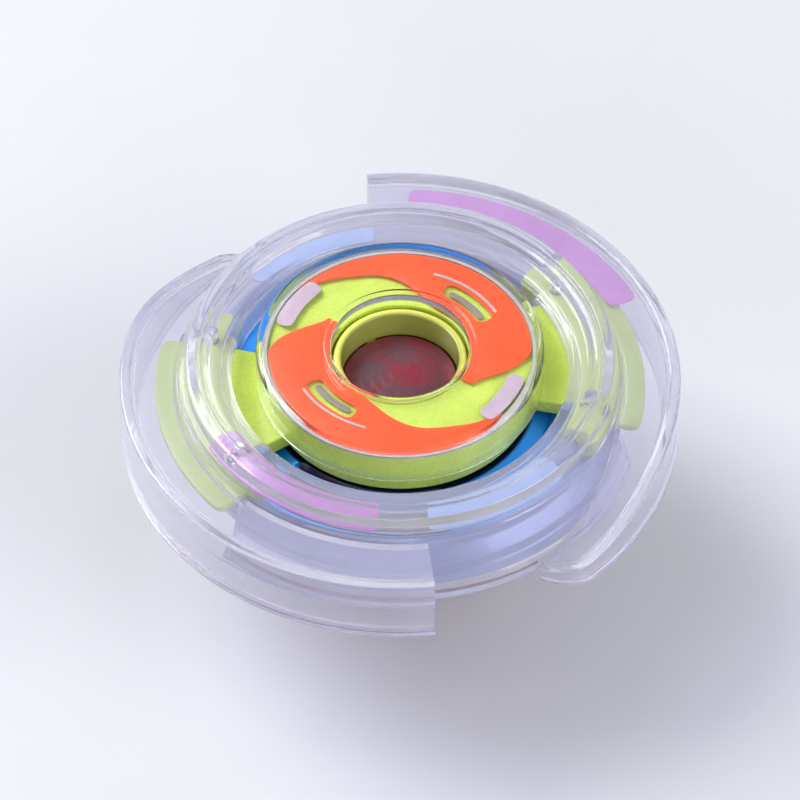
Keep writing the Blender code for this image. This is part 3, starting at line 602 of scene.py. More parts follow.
BOARD = finish(
    "board", srgb(24, 92, 52), srgb(38, 120, 66), patch=0.9 * MM, roughness=(0.25, 0.45), grain=0.3 * MM,
)
BLACK_EPOXY = moulded("black_epoxy", srgb(22, 22, 24), (0.15, 0.3))
LED_TINTS = {"red": srgb(235, 60, 55), "green": srgb(70, 215, 100), "blue": srgb(70, 110, 235)}


# Attack ring

def skirt_radius(height):
    """Outer radius of the flared skirt at a height."""
    flare = (SKIRT_BOTTOM_RADIUS - SKIRT_TOP_RADIUS) / (SKIRT_TOP - SKIRT_BOTTOM)
    return SKIRT_TOP_RADIUS + (SKIRT_TOP - height) * flare


def skirt_rib(height, depth):
    """Three points that dent the skirt by this depth at a height."""
    half = 0.22 * MM
    spread = ((half, 0.0), (0.0, depth), (-half, 0.0))
    return [(skirt_radius(height + rise) - inset, height + rise, 0.08 * MM) for rise, inset in spread]


def ring_body():
    inner_wall = RING_INNER + RING_INNER_WALL
    inner_edge = skirt_radius(RING_CEILING - 0.5 * MM) - SKIRT_WALL
    crest = RING_CREST
    soft = 0.3 * MM
    corners = [
        (RING_INNER, FRAME_FOOT, 0.12 * MM),
        (RING_INNER, RING_LIP, 0.12 * MM),
        (RING_INNER + 0.4 * MM, RING_LIP + 0.4 * MM, 0.2 * MM),
        (16.1 * MM, RING_LIP + 0.5 * MM, soft),
        (16.5 * MM, crest - 0.3 * MM, 0.15 * MM),
        (16.9 * MM, crest - 0.1 * MM, 0.1 * MM),
        (17.05 * MM, crest - 0.3 * MM, 0.08 * MM),
        (17.25 * MM, crest - 0.3 * MM, 0.08 * MM),
        (17.4 * MM, crest - 0.05 * MM, 0.1 * MM),
        (17.8 * MM, crest, 0.2 * MM),
        (18.3 * MM, crest - 0.1 * MM, 0.25 * MM),
        (SKIRT_TOP_RADIUS, SKIRT_TOP, soft),
        *skirt_rib(20.9 * MM, 0.12 * MM),
        *skirt_rib(16.6 * MM, 0.15 * MM),
        (SKIRT_BOTTOM_RADIUS, SKIRT_BOTTOM, 0.25 * MM),
        (SKIRT_BOTTOM_RADIUS - SKIRT_WALL, SKIRT_BOTTOM, 0.25 * MM),
        (inner_edge, RING_CEILING - 0.5 * MM, soft),
        (inner_edge - 0.5 * MM, RING_CEILING, soft),
        (inner_wall + 0.2 * MM, RING_CEILING, 0.15 * MM),
        (inner_wall, RING_CEILING - 0.2 * MM, 0.05 * MM),
        (inner_wall, FRAME_FOOT, 0.12 * MM),
    ]
    return turned(rounded(corners))


def wing_section(degrees):
    """A shelf out from the skirt and a wall down from its edge; the shelf ramps up behind the wing's tip."""
    ramp = smoothstep((degrees - WING_START) / (WING_FULL - WING_START))
    lead = min((degrees - WING_START) / WING_LEAD, 1.0)
    top = WING_LOW + (WING_TOP - WING_LOW) * ramp
    outer = WING_RADIUS - WING_TIP_DRAW * (1 - lead) ** 2
    root = skirt_radius(top) - 0.4 * MM
    inside = outer - WING_WALL
    wall = top - WING_FOOT
    corners = [
        (root, top - SHELF_THICKNESS, 0.02 * MM),
        (root, top - 0.12 * MM, 0.02 * MM),
        (outer - 1.0 * MM, top - 0.12 * MM, 0.1 * MM),
        (outer - 0.8 * MM, top, 0.1 * MM),
        (outer, top, 0.35 * MM),
        (outer, WING_FOOT + 0.62 * wall, 0.1 * MM),
        (outer - 0.22 * MM, WING_FOOT + 0.56 * wall, 0.1 * MM),
        (outer - 0.22 * MM, WING_FOOT + 0.20 * wall, 0.1 * MM),
        (outer, WING_FOOT + 0.14 * wall, 0.1 * MM),
        (outer, WING_FOOT, 0.25 * MM),
        (inside, WING_FOOT, 0.2 * MM),
        (inside, top - SHELF_THICKNESS, 0.3 * MM),
    ]
    return [(*polar(radius, degrees), height) for radius, height in rounded(corners)]


def wing_angles():
    """Close stations through the wing's tip, then one a degree."""
    fine = [WING_START + 0.5 * step for step in range(2 * WING_LEAD)]
    return fine + list(range(WING_START + WING_LEAD, WING_END + 1))


def wing(turn):
    spin = Matrix.Rotation(math.radians(turn), 4, "Z")
    sections = []
    for degrees in wing_angles():
        sections.append([spin @ Vector(point) for point in wing_section(degrees)])
    return lofted(sections, closed=False)


def make_attack_ring():
    cuts = []
    sharp = {"corner": 0.05 * MM, "edge": 0.05 * MM}
    wall = (RING_INNER - SEAT, PAD_INNER, FRAME_FOOT - SEAT, ARM_TOP + SEAT)
    skirt = (PAD_OUTER, SKIRT_BOTTOM_RADIUS + SEAT, SKIRT_BOTTOM - SEAT, OUTER_PAD_TOP + SEAT)
    arm_gap = ARM_HALF_ANGLE + PAD_CLEARANCE
    for degrees in ARM_ANGLES:
        cuts.append(slab(*wall, degrees - arm_gap, degrees + arm_gap, **sharp))
        pad_start = degrees + OUTER_PAD[0] - PAD_CLEARANCE
        pad_end = degrees + OUTER_PAD[1] + PAD_CLEARANCE
        cuts.append(slab(*skirt, pad_start, pad_end, **sharp))
    for node in FRAME_SCREWS:
        hole = (RING_CEILING - SEAT, top_of(node) + SEAT)
        cuts.append(rod(FRAME_SCREW_SHANK + FIT, *hole, 24, middle_of(node)))
    shell = mesh_object("skirt", ring_body())
    carve(shell, cuts, "DIFFERENCE")
    carved = bmesh.new()
    carved.from_mesh(shell.data)
    bpy.data.objects.remove(shell)
    piece(
        "attack_ring_shell", carved, CLEAR, "clear_polycarbonate", "layer", "attack_ring",
        add=[wing(turn) for turn in WING_ANGLES],
    )


# Hub and frame

def make_frame():
    outer_wall = HUB_RADIUS - HUB_WALL - 0.3 * MM
    inner_wall = outer_wall - FRAME_WALL
    plate_inner = COLLAR_RADIUS + SEAT
    plate_bottom = FRAME_TOP - FRAME_PLATE
    tube_foot = bottom_of("color_frame") + 0.1 * MM
    edge = 0.12 * MM
    corners = [
        (plate_inner, plate_bottom, edge),
        (FRAME_TUBE, plate_bottom, edge),
        (FRAME_TUBE, tube_foot, edge),
        (FRAME_TUBE + FRAME_WALL, tube_foot, edge),
        (FRAME_TUBE + FRAME_WALL, plate_bottom, edge),
        (inner_wall, plate_bottom, edge),
        (inner_wall, FRAME_FOOT, edge),
        (outer_wall, FRAME_FOOT, edge),
        (outer_wall, FRAME_TOP, 0.3 * MM),
        (plate_inner, FRAME_TOP, edge),
    ]
    joined = []
    arm_end = (PAD_INNER + PAD_OUTER) / 2
    arm_band = (outer_wall - FRAME_WALL / 2, arm_end)
    # An arm and its pads overlap, so their faces are kept out of each other's planes
    arm_levels = (FRAME_FOOT + 0.15 * MM, ARM_TOP - 0.1 * MM)
    pad_levels = (FRAME_FOOT + 0.05 * MM, ARM_TOP)
    outer_levels = (OUTER_PAD_BOTTOM, OUTER_PAD_TOP)
    for degrees in ARM_ANGLES:
        arm = (degrees - ARM_HALF_ANGLE, degrees + ARM_HALF_ANGLE)
        pad = (degrees - PAD_HALF_ANGLE, degrees + PAD_HALF_ANGLE)
        outer_pad = (degrees + OUTER_PAD[0], degrees + OUTER_PAD[1])
        joined.append(slab(*arm_band, *arm_levels, *arm, corner=0.3 * MM))
        joined.append(slab(PAD_INNER, PAD_OUTER, *pad_levels, *pad, corner=0.9 * MM))
        joined.append(slab(arm_end, OUTER_PAD_RADIUS, *outer_levels, *outer_pad, corner=0.9 * MM))
    claw_band = (CLAW_INNER, FRAME_TUBE + FRAME_WALL / 2)
    claw_levels = (bottom_of("color_frame"), CLAW_TOP)
    stop_levels = (CLAW_TOP - 0.2 * MM, TAB_TOP)
    for degrees in TAB_ANGLES:
        claw = (degrees - CLAW_HALF_ANGLE, degrees + CLAW_HALF_ANGLE)
        joined.append(slab(*claw_band, *claw_levels, *claw, corner=0.3 * MM))
        near_stop = degrees + TAB_HALF_ANGLE + STOP_CLEARANCE
        far_stop = degrees - TAB_HALF_ANGLE - TWIST_TRAVEL - STOP_CLEARANCE - STOP_WIDTH
        for start in (near_stop, far_stop):
            stop = (start, start + STOP_WIDTH)
            joined.append(slab(*claw_band, *stop_levels, *stop, corner=0.2 * MM))
    holes = []
    for node in FRAME_SCREWS:
        place = middle_of(node)
        recess_top = bottom_of(node) + FRAME_SCREW_HEAD_HEIGHT + SEAT
        recess = (OUTER_PAD_BOTTOM - SEAT, recess_top)
        holes.append(rod(FRAME_SCREW_SHANK + FIT, recess_top - 0.1 * MM, ARM_TOP + SEAT, 24, place))
        holes.append(rod(half_width_of(node) + SEAT, *recess, 32, place))
    piece(
        "frame_lime", turned(rounded(corners)), LIME, "lime_plastic", "layer", "color_frame",
        add=joined, cut=holes,
    )


def make_hub_cover():
    inner = COLLAR_RADIUS + SEAT
    plate_bottom = top_of("orange_decal_1") + SEAT
    inside = HUB_RADIUS - HUB_WALL
    foot = bottom_of("hub_cover")
    step = 0.1 * MM
    step_radius = 6.5 * MM
    corners = [
        (inner, plate_bottom, 0.08 * MM),
        (inside, plate_bottom, 0.15 * MM),
        (inside, foot, 0.1 * MM),
        (HUB_RADIUS, foot, 0.15 * MM),
        (HUB_RADIUS, HUB_TOP, 0.7 * MM),
        (step_radius, HUB_TOP, 0.08 * MM),
        (step_radius - step, HUB_TOP - step, 0.08 * MM),
        (inner, HUB_TOP - step, 0.1 * MM),
    ]
    shape = turned(rounded(corners, steps=6))
    piece("hub_cover_shell", shape, COVER, "clear_cover", "layer", "hub_cover")


def make_collar():
    low = bottom_of("center_collar")
    high = top_of("center_collar")
    flange = reach_of("center_collar")
    flange_bottom = 21.1 * MM
    flange_top = 21.8 * MM
    edge = 0.1 * MM
    corners = [
        (BORE_RADIUS, low, edge),
        (COLLAR_RADIUS, low, edge),
        (COLLAR_RADIUS, flange_bottom, edge),
        (flange, flange_bottom, edge),
        (flange, flange_top, edge),
        (COLLAR_RADIUS, flange_top, edge),
        (COLLAR_RADIUS, high, 0.3 * MM),
        (BORE_RADIUS, high, 0.25 * MM),
    ]
    shape = turned(rounded(corners, steps=6))
    # The collar's bore wall is painted shade, olive, through its material.
    piece("collar", shape, YELLOW_WITH_PAINTED_BORE_SHADE, "yellow_plastic", "layer", "center_collar")


# Decals

def swoosh_inner(t):
    """The orange starts at the collar, then draws out to a thin tail along the hub's rim."""
    at_collar = 6.1 * MM
    draw = 3.2 * MM * smoothstep((t - 0.52) / 0.32)
    tail = 1.5 * MM * smoothstep((t - 0.8) / 0.2)
    return at_collar + draw + tail


def swoosh_outer(t):
    """The outer edge swings out from the collar to the hub's rim over the first fifth."""
    at_rim = 11.2 * MM
    tuck = 4.0 * MM * (1 - smoothstep(t / 0.2))
    return at_rim - tuck


def painted_light_line(name, radius, width, height, start, end, material):
    """Thin raised line on the film, along an arc; it carries painted shade in the hub's slots and painted
    highlight along their edges.
    """
    band = (radius - width / 2, radius + width / 2)
    levels = (height, height + 0.05 * MM)
    shape = slab(*band, *levels, start, end, corner=width / 2, edge=0.02 * MM)
    piece(name, shape, material, "orange_film", "layer")


def make_hub_decals():
    low = bottom_of("orange_decal_1")
    high = top_of("orange_decal_1")
    above = high + 0.02 * MM
    through = (low - SEAT, high + SEAT)
    print_levels = (above, above + 0.05 * MM)
    thin = 0.02 * MM
    for index, start in enumerate(SWOOSH_STARTS, start=1):
        span = (start, start + SWOOSH_SPAN)
        shape = slab(
            swoosh_inner, swoosh_outer, low, high, *span, corner=0.25 * MM, edge=0.05 * MM, steps=110,
        )
        slot_span = (start + HUB_SLOT[0], start + HUB_SLOT[1])
        slot = slab(*HUB_SLOT_BAND, *through, *slot_span, corner=0.7 * MM, edge=thin)
        node = f"orange_decal_{index}"
        piece(f"hub_swoosh_{index}", shape, ORANGE, "orange_film", "layer", node, cut=[slot])
        # A grey strip down the slot is painted shade in the recess.
        shade_span = (start + 61, start + 90)
        painted_light_line(f"hub_shade_{index}", 8.0 * MM, 0.6 * MM, low, *shade_span, GREY_PAINTED_SHADE)
        # A thin silver arc past the slot is painted highlight along its edge.
        edge_span = (start + 60, start + 104)
        painted_light_line(f"hub_edge_{index}", 9.3 * MM, 0.25 * MM, above, *edge_span, SILVER_PAINTED_HIGHLIGHT)
        patch_span = (start + HUB_PATCH[0], start + HUB_PATCH[1])
        patch = slab(*HUB_PATCH_BAND, *print_levels, *patch_span, corner=0.8 * MM, edge=thin)
        piece(f"hub_patch_{index}", patch, LILAC_PRINT, "orange_film", "layer")
    # A silver ring round the swooshes is painted highlight along the clear cover's edge.
    inner, outer = HUB_RIM_BAND
    rim = [(inner, low), (outer, low), (outer, high), (inner, high)]
    piece("hub_rim_painted_highlight", turned(rim), SILVER_PAINTED_HIGHLIGHT, "orange_film", "layer")


def make_ring_decals():
    levels = (bottom_of("purple_decal_1"), top_of("purple_decal_1"))
    shape = slab(*RING_DECAL_BAND, *levels, *RING_PURPLE, corner=0.8 * MM, edge=0.05 * MM)
    screw = "frame_screw_4"
    hole = rod(FRAME_SCREW_SHANK + SEAT, levels[0] - SEAT, levels[1] + SEAT, 24, middle_of(screw))
    piece("ring_purple_1", shape, PURPLE, "purple_film", "layer", "purple_decal_1", cut=[hole])

    under = (bottom_of("purple_decal_2"), top_of("purple_decal_2"))
    shape = slab(*WING_DECAL_BAND, *under, *WING_PURPLE, corner=0.8 * MM, edge=0.05 * MM)
    piece("ring_purple_2", shape, PURPLE, "purple_film", "layer", "purple_decal_2")

    for index, start in enumerate(RING_BLUE_STARTS, start=1):
        span = (start, start + RING_BLUE_SPAN)
        shape = slab(*RING_DECAL_BAND, *levels, *span, corner=0.8 * MM, edge=0.05 * MM)
        piece(f"ring_blue_{index}", shape, BLUE_FILM_WITH_PAINTED_HIGHLIGHT, "blue_film", "layer", f"blue_decal_{index}")


# Metal disc

def make_disc():
    low = bottom_of("metal_disc")
    high = top_of("metal_disc")
    ridge = 11.6 * MM
    dent = 0.2 * MM
    dent_low = 15.9 * MM
    dent_high = 16.5 * MM
    slope = 0.15 * MM
    corners = [
        (DISC_INNER, DISC_WEB_BOTTOM, 0.25 * MM),
        (DISC_RIM - 0.4 * MM, DISC_WEB_BOTTOM, 0.2 * MM),
        (DISC_RIM, low, 0.25 * MM),
        (DISC_OUTER, low, 0.4 * MM),
        (DISC_OUTER, dent_low, 0.1 * MM),
        (DISC_OUTER - dent, dent_low + slope, 0.1 * MM),
        (DISC_OUTER - dent, dent_high - slope, 0.1 * MM),
        (DISC_OUTER, dent_high, 0.1 * MM),
        (DISC_OUTER, high - 1.2 * MM, 0.2 * MM),
        (DISC_OUTER - 1.1 * MM, high, 0.2 * MM),
        (DISC_RIM, high, 0.25 * MM),
        (DISC_RIM - 0.7 * MM, high - 1.0 * MM, 0.3 * MM),
        (13.3 * MM, high - 0.58 * MM, 0.05 * MM),
        (13.2 * MM, high - 0.7 * MM, 0.05 * MM),
        (13.0 * MM, high - 0.65 * MM, 0.05 * MM),
        (12.9 * MM, high - 0.45 * MM, 0.05 * MM),
        (ridge, high - 0.1 * MM, 0.3 * MM),
        (DISC_INNER, high - 0.9 * MM, 0.25 * MM),
    ]
    windows = []
    through = (DISC_WEB_BOTTOM - SEAT, high + SEAT)
    for window in DISC_WINDOWS:
        windows.append(slab(*DISC_WINDOW_BAND, *through, *window, corner=1.2 * MM, edge=0.02 * MM))
    disc = turned(rounded(corners))
    piece("disc", disc, DISC_BLUE_WITH_PAINTED_SHADE, "blue_anodised", "layer", "metal_disc", cut=windows)


# Screws

def cross_recess(place, height, size):
    """The two crossed slots of a recess that opens downwards at this height."""
    thin = 0.28 * MM
    depth = 0.7 * MM
    middle = (*place, height + 0.15 * MM)
    return [block(size, thin, depth, middle, turn) for turn in (30, 120)]


def make_screw(node, body, head_height, shank_radius, recess):
    low = bottom_of(node)
    high = top_of(node)
    head = half_width_of(node)
    place = middle_of(node)
    corners = [
        (0, low, 0),
        (head, low, 0.25 * MM),
        (head, low + head_height, 0.05 * MM),
        (shank_radius, low + head_height, 0.05 * MM),
        (shank_radius, high, 0.2 * MM),
        (0, high, 0),
    ]
    shape = turned(rounded(corners, closed=False), 40, place)
    piece(
        node.replace("screw", "bolt"), shape, SCREW_STEEL, "screw_steel", body, node,
        cut=cross_recess(place, low, recess),
    )


def make_screws():
    for node in CASE_SCREWS:
        make_screw(node, "driver", CASE_SCREW_HEAD_HEIGHT, CASE_SCREW_SHANK, 1.5 * MM)
    for node in FRAME_SCREWS:
        make_screw(node, "layer", FRAME_SCREW_HEAD_HEIGHT, FRAME_SCREW_SHANK, 1.1 * MM)


# Driver

def make_driver_base():
    low = bottom_of("driver_base")
    rim = top_of("driver_base")
    pocket = half_width_of("bearing_outer_race") + FIT
    ledge = bottom_of("bearing_outer_race") - FIT
    inside = CASE_RADIUS - CASE_WALL
    opening = 3.0 * MM
    dent = CASE_RADIUS - 0.25 * MM
    corners = [
        (opening, low, 0.15 * MM),
        (5.2 * MM, low, 0.3 * MM),
        (5.8 * MM, low + 0.4 * MM, 0.4 * MM),
        (12.4 * MM, 8.3 * MM, 0.6 * MM),
        (13.6 * MM, 9.1 * MM, 0.4 * MM),
        (CASE_RADIUS, 10.0 * MM, 0.4 * MM),
        (CASE_RADIUS, rim - 1.6 * MM, 0.1 * MM),
        (dent, rim - 1.4 * MM, 0.1 * MM),
        (dent, rim - 1.1 * MM, 0.1 * MM),
        (CASE_RADIUS, rim - 0.9 * MM, 0.1 * MM),
        (CASE_RADIUS, rim, 0.2 * MM),
        (inside, rim, 0.1 * MM),
        (inside, CASE_FLOOR, 0.3 * MM),
        (pocket, CASE_FLOOR, 0.15 * MM),
        (pocket, ledge, 0.1 * MM),
        (opening, ledge, 0.1 * MM),
    ]
    bosses = []
    holes = []
    boss_levels = (CASE_FLOOR - 0.5 * MM, rim - 0.01 * MM)
    for node in CASE_SCREWS:
        place = middle_of(node)
        head_seat = bottom_of(node) + CASE_SCREW_HEAD_HEIGHT + FIT
        bosses.append(rod(BOSS_RADIUS, *boss_levels, 48, place))
        holes.append(rod(CASE_SCREW_SHANK + FIT, low, rim + SEAT, 32, place))
        holes.append(rod(half_width_of(node) + SEAT, low, head_seat, 48, place))
    piece(
        "case_base", turned(rounded(corners)), RED_CASE, "red_case", "driver", "driver_base",
        add=bosses, cut=holes,
    )


def make_driver_cover():
    low = bottom_of("driver_cover")
    high = top_of("driver_cover")
    cup_top = 16.4 * MM
    cup = (7.7 * MM, 8.3 * MM)
    edge = 0.12 * MM
    corners = [
        (COLUMN_BORE, low, edge),
        (CASE_RADIUS, low, 0.15 * MM),
        (CASE_RADIUS, COVER_TOP, 0.15 * MM),
        (cup[1], COVER_TOP, edge),
        (cup[1], cup_top, edge),
        (cup[0], cup_top, edge),
        (cup[0], COVER_TOP, edge),
        (COLUMN_RADIUS, COVER_TOP, edge),
        (COLUMN_RADIUS, high, edge),
        (COLUMN_BORE, high, edge),
    ]
    root = (COLUMN_RADIUS + COLUMN_BORE) / 2
    tabs = []
    for degrees in TAB_ANGLES:
        span = (degrees - TAB_HALF_ANGLE, degrees + TAB_HALF_ANGLE)
        tabs.append(slab(root, TAB_RADIUS, TAB_BOTTOM, TAB_TOP, *span, corner=0.25 * MM))
    through = (low - SEAT, COVER_TOP + SEAT)
    holes = [rod(CASE_SCREW_SHANK + FIT, *through, 32, middle_of(node)) for node in CASE_SCREWS]
    piece(
        "case_cover", turned(rounded(corners)), RED_CASE, "red_case", "driver", "driver_cover",
        add=tabs, cut=holes,
    )


def make_lens():
    low = bottom_of("lens_cap")
    high = top_of("lens_cap")
    rim = reach_of("lens_cap")
    plug = COLUMN_BORE - SEAT
    seat = low + 0.6 * MM
    rim_top = seat + 0.2 * MM
    corners = [(0, low, 0), (plug, low, 0.1 * MM), (plug, seat, 0.05 * MM), (rim, seat, 0.1 * MM)]
    corners.append((rim, rim_top, 0.08 * MM))
    rings = 5
    for ring in range(rings):
        outside = rim * 0.9 * (1 - ring / rings)
        dome = high - (high - rim_top) * (outside / rim) ** 2
        corners.append((outside, dome - 0.02 * MM, 0.02 * MM))
        corners.append((outside - 0.12 * MM, dome, 0.03 * MM))
    corners.append((0, high, 0))
    piece(
        "bore_lens", turned(rounded(corners, closed=False, steps=3), 128), RED_LENS, "red_lens",
        "driver", "lens_cap",
    )


def make_cells():
    cap = 3.2 * MM
    for index in (1, 2, 3):
        node = f"button_cell_{index}"
        low = bottom_of(node)
        high = top_of(node)
        radius = half_width_of(node)
        corners = [
            (0, low, 0),
            (radius, low, 0.25 * MM),
            (radius, high - 0.3 * MM, 0.2 * MM),
            (cap + 0.15 * MM, high - 0.2 * MM, 0.05 * MM),
            (cap + 0.1 * MM, high - 0.35 * MM, 0.05 * MM),
            (cap, high - 0.35 * MM, 0.05 * MM),
            (cap, high, 0.15 * MM),
            (0, high, 0),
        ]
        shape = turned(rounded(corners, closed=False), SMALL_SEGMENTS, middle_of(node))
        piece(f"cell_{index}", shape, CELL_CAN, "cell_can", "driver", node)

    low = bottom_of("cell_contact_strip")
    high = top_of("cell_contact_strip")
    strip_band = (6.6 * MM, 8.6 * MM)
    half_span = 150
    strip = slab(
        *strip_band, low, high, -half_span, half_span, corner=0.8 * MM, edge=0.05 * MM, steps=120,
    )
    piece("contact_strip", strip, NICKEL, "contact_nickel", "driver", "cell_contact_strip")


def make_board():
    low = bottom_of("led_board")
    high = top_of("led_board")
    notch = (BOSS_RADIUS + 0.3 * MM, low - SEAT, high + SEAT)
    notches = [rod(*notch, 48, middle_of(node)) for node in CASE_SCREWS]
    disc = rod(CASE_RADIUS - CASE_WALL - SEAT, low, high, 160, rounding=0.05 * MM)
    piece("circuit_board", disc, BOARD, "board", "driver", "led_board", cut=notches)

    radius = reach_of("flasher_chip")
    chip_low = bottom_of("flasher_chip")
    chip_high = top_of("flasher_chip")
    dome = [(0, chip_low)]
    dome_steps = 9
    for step in range(1, dome_steps):
        spread, rise = polar(1.0, 90 - 90 * step / dome_steps)
        dome.append((radius * spread, chip_high - (chip_high - chip_low) * rise))
    dome += [(radius, chip_high), (0, chip_high)]
    blob = turned(dome, SMALL_SEGMENTS)
    piece("resin_chip", blob, BLACK_EPOXY, "black_epoxy", "driver", "flasher_chip")


def make_leds():
    for name, tint in LED_TINTS.items():
        node = f"led_{name}"
        low = bottom_of(node)
        high = top_of(node)
        radius = half_width_of(node)
        dome = radius - 0.1 * MM
        dome_steps = 9
        flange_top = low + 0.6 * MM
        corners = [
            (0, low, 0),
            (radius, low, 0.08 * MM),
            (radius, flange_top, 0.08 * MM),
            (dome, flange_top, 0.05 * MM),
            (dome, high - dome, 0),
        ]
        profile = rounded(corners, closed=False)
        for step in range(1, dome_steps):
            reach, rise = polar(dome, 90 * step / dome_steps)
            profile.append((reach, high - dome + rise))
        profile.append((0, high))
        shape = turned(profile, 40, middle_of(node))
        epoxy = see_through(f"led_{name}_epoxy", tint, scaled(tint, 1.2), 0.8)
        piece(f"lamp_{name}", shape, epoxy, f"led_{name}_epoxy", "driver", node)


def make_switch():
    low = bottom_of("switch_post")
    high = top_of("switch_post")
    pivot = middle_of("switch_post")
    post = half_width_of("switch_post")
    flange = post + 0.35 * MM
    flange_top = low + 0.3 * MM
    corners = [
        (0, low, 0),
        (flange, low, 0.05 * MM),
        (flange, flange_top, 0.05 * MM),
        (post, flange_top, 0.05 * MM),
        (post, high, 0.1 * MM),
        (0, high, 0),
    ]
    shape = turned(rounded(corners, closed=False), 32, pivot)
    piece("pivot_post", shape, BRASS, "switch_brass", "driver", "switch_post")
    contact = rod(half_width_of("switch_contact"), low, high, 32, middle_of("switch_contact"))
    piece("contact_pin", contact, BRASS, "switch_brass", "driver", "switch_contact")

    lever_low = bottom_of("switch_lever")
    lever_high = top_of("switch_lever")
    arm_low = 10.6 * MM
    arm_high = 11.4 * MM
    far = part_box("switch_lever")[1][1]
    weight = 0.8 * MM
    end = (pivot[0], far - weight)
    eye = rod(1.15 * MM, arm_low, arm_high, 48, pivot)
    arm_size = (0.7 * MM, end[1] - pivot[1] - 0.9 * MM, arm_high - arm_low - 0.2 * MM)
    arm_middle = (pivot[0], (pivot[1] + end[1]) / 2 + 0.2 * MM, (arm_low + arm_high) / 2)
    arm = block(*arm_size, arm_middle)
    bob = rod(weight, lever_low, lever_high, 48, end)
    hole = rod(post + FIT, arm_low - SEAT, arm_high + SEAT, 32, pivot)
    piece(
        "swing_lever", eye, BRASS, "switch_brass", "switch_lever", "switch_lever",
        add=[arm, bob], cut=[hole],
    )


# Lock ring and spring

def make_lock_ring():
    low = bottom_of("lock_ring")
    high = top_of("lock_ring")
    inner = 4.9 * MM
    outer = reach_of("lock_ring")
    teeth = 12
    tooth = 0.3 * MM
    edge = 0.1 * MM
    sections = []
    for degrees in range(360):
        along = (degrees * teeth / 360) % 1.0
        up = smoothstep((along - 0.42) / 0.1) * (1 - smoothstep((along - 0.9) / 0.1))
        top = high - tooth + tooth * up
        corners = [(inner, low, edge), (outer, low, edge), (outer, top, edge), (inner, top, edge)]
        sections.append([(*polar(radius, degrees), height) for radius, height in rounded(corners)])
    piece("ratchet_ring", lofted(sections, closed=True), NYLON, "nylon", "lock_ring", "lock_ring")

    spring_low = bottom_of("lock_spring")
    spring_high = top_of("lock_spring")
    spring_radius = 6.2 * MM
    wire = 0.14 * MM
    turns = 3
    shape = coil(spring_radius, wire, spring_low, spring_high, turns)
    spring = piece("ratchet_spring", shape, SPRING_STEEL, "spring_steel", "driver", "lock_spring")
    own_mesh(spring)


# Tip and bearing

def make_tip():
    neck = half_width_of("bearing_inner_race")
    race_low = bottom_of("bearing_inner_race")
    socket = half_width_of("tip_shaft") + FIT
    socket_floor = bottom_of("tip_shaft") - FIT
    wide = reach_of("tip")
    shoulder = 4.2 * MM
    corners = [
        (0, 0, 0),
        (3.0 * MM, 0, 0.2 * MM),
        (wide, 0.7 * MM, 0.5 * MM),
        (wide, 1.9 * MM, 0.5 * MM),
        (2.8 * MM, 3.2 * MM, 0.5 * MM),
        (2.6 * MM, shoulder, 0.15 * MM),
        (neck, shoulder, 0.15 * MM),
        (neck, race_low - FIT, 0.1 * MM),
        (socket, race_low - FIT, 0.1 * MM),
        (socket, socket_floor, 0.1 * MM),
        (0, socket_floor, 0),
    ]
    foot = turned(rounded(corners, closed=False, steps=6), 128)
    piece("foot", foot, ACETAL, "acetal", "tip", "tip")
    node = "tip_shaft"
    shaft = rod(half_width_of(node), bottom_of(node), top_of(node), rounding=0.2 * MM)
    piece("shaft", shaft, POLISHED_STEEL, "polished_steel", "tip", node)
    make_ring("retaining_collar", "shaft_clip", socket, "tip")


def make_ring(name, node, inner, body, groove=None):
    """Steel ring as wide and tall as its node; groove is the side, -1 in or 1 out, of its ball track."""
    low = bottom_of(node)
    high = top_of(node)
    outer = half_width_of(node)
    edge = 0.12 * MM
    corners = [(inner, low, edge), (outer, low, edge)]
    track = [(-0.55, 0.0), (-0.3, 0.16), (0.3, 0.16), (0.55, 0.0)]
    middle = (low + high) / 2
    if groove == 1:
        corners += [(outer - depth * MM, middle + rise * MM, 0.2 * MM) for rise, depth in track]
    corners += [(outer, high, edge), (inner, high, edge)]
    if groove == -1:
        corners += [(inner + depth * MM, middle - rise * MM, 0.2 * MM) for rise, depth in track]
    piece(name, turned(rounded(corners), 96), POLISHED_STEEL, "polished_steel", body, node)


def make_bearing():
    shaft = half_width_of("tip_shaft")
    outer_race_bore = 3.6 * MM
    make_ring("inner_race", "bearing_inner_race", shaft + FIT, "tip", groove=1)
    make_ring("outer_race", "bearing_outer_race", outer_race_bore, "driver", groove=-1)

    pitch = 2.85 * MM
    ball = 0.6 * MM
    count = 7
    node = "bearing_ball_cage"
    middle = (bottom_of(node) + top_of(node)) / 2
    half_width = 0.25 * MM
    half_height = 0.4 * MM
    edge = 0.08 * MM
    corners = [
        (pitch - half_width, middle - half_height, edge),
        (pitch + half_width, middle - half_height, edge),
        (pitch + half_width, middle + half_height, edge),
        (pitch - half_width, middle + half_height, edge),
    ]
    piece("cage", turned(rounded(corners), 112), BRASS, "polished_steel", "ball_cage", node)
    balls = bmesh.new()
    for index in range(count):
        degrees = 360 * (index + 0.5) / count
        place = Matrix.Translation((*polar(pitch, degrees), middle))
        bmesh.ops.create_uvsphere(balls, u_segments=24, v_segments=14, radius=ball, matrix=place)
    piece("balls", balls, POLISHED_STEEL, "polished_steel", "ball_cage")


# Camera, floor and light

def aimed(item, place, target):
    item.location = place
    direction = Vector(target) - Vector(place)
    item.rotation_euler = direction.to_track_quat("-Z", "Y").to_euler()


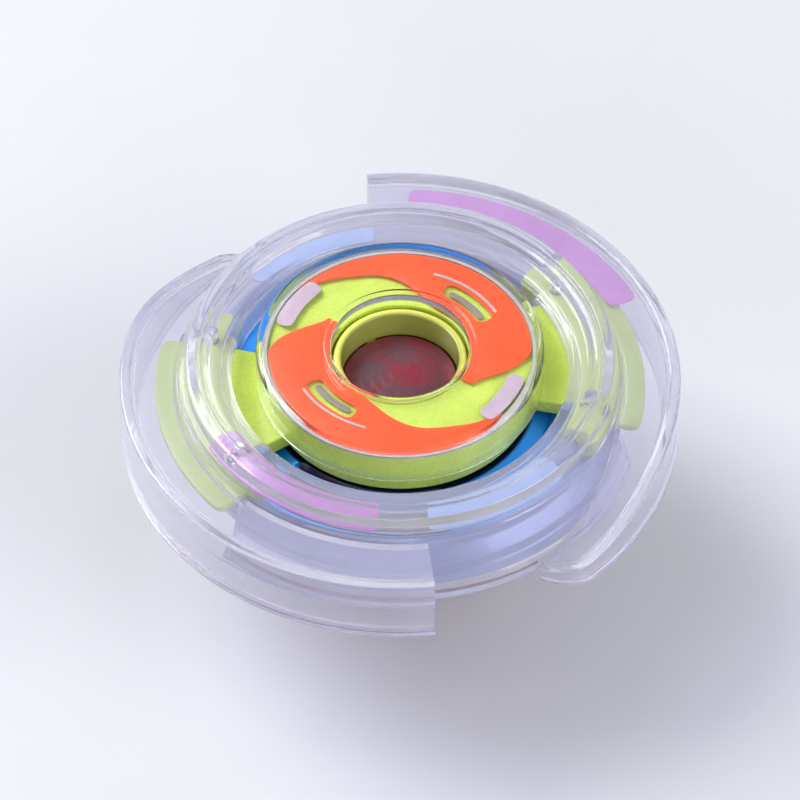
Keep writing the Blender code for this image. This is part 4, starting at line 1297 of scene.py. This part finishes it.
def make_camera():
    elevation = math.radians(48)
    distance = 600 * MM
    target = Vector((0.0, 0.0, 17.3 * MM))
    data = bpy.data.cameras.new("camera")
    data.lens = 315
    data.clip_start = 10 * MM
    camera = bpy.data.objects.new("camera", data)
    bpy.context.scene.collection.objects.link(camera)
    place = target + Vector((0.0, -math.cos(elevation), math.sin(elevation))) * distance
    aimed(camera, place, target)
    bpy.context.scene.camera = camera


def make_floor():
    bm = bmesh.new()
    bmesh.ops.create_grid(bm, x_segments=1, y_segments=1, size=1.5)
    floor = mesh_object("floor", bm)
    floor.location.z = -0.02 * MM
    material = finish(
        "floor", srgb(214, 215, 219), srgb(210, 211, 216), patch=40 * MM, roughness=(0.45, 0.55),
        grain=2 * MM, bump=0.02,
    )
    floor.data.materials.append(material)


def area_light(name, place, size, power, color=(1.0, 1.0, 1.0)):
    data = bpy.data.lights.new(name, "AREA")
    data.shape = "RECTANGLE"
    data.size, data.size_y = size
    data.energy = power
    data.color = color
    light = bpy.data.objects.new(name, data)
    bpy.context.scene.collection.objects.link(light)
    aimed(light, place, (0.0, 0.0, 15 * MM))


def make_light():
    area_light("key", (-0.35, 0.25, 0.45), (0.35, 0.35), 3.6)
    area_light("fill", (0.45, -0.2, 0.35), (0.4, 0.3), 1.8)
    area_light("front", (-0.15, -0.5, 0.25), (0.5, 0.15), 0.7)
    world = bpy.data.worlds.new("studio")
    bpy.context.scene.world = world
    world.use_nodes = True
    background = world.node_tree.nodes["Background"]
    background.inputs["Color"].default_value = (0.84, 0.87, 0.94, 1.0)
    background.inputs["Strength"].default_value = 0.42
    bpy.context.scene.view_settings.view_transform = "Standard"


def main():
    make_camera()
    make_floor()
    make_light()

    make_attack_ring()
    make_frame()
    make_hub_cover()
    make_collar()
    make_hub_decals()
    make_ring_decals()
    make_disc()
    make_screws()

    make_driver_base()
    make_driver_cover()
    make_lens()
    make_cells()
    make_board()
    make_leds()
    make_switch()
    make_lock_ring()

    make_tip()
    make_bearing()


main()
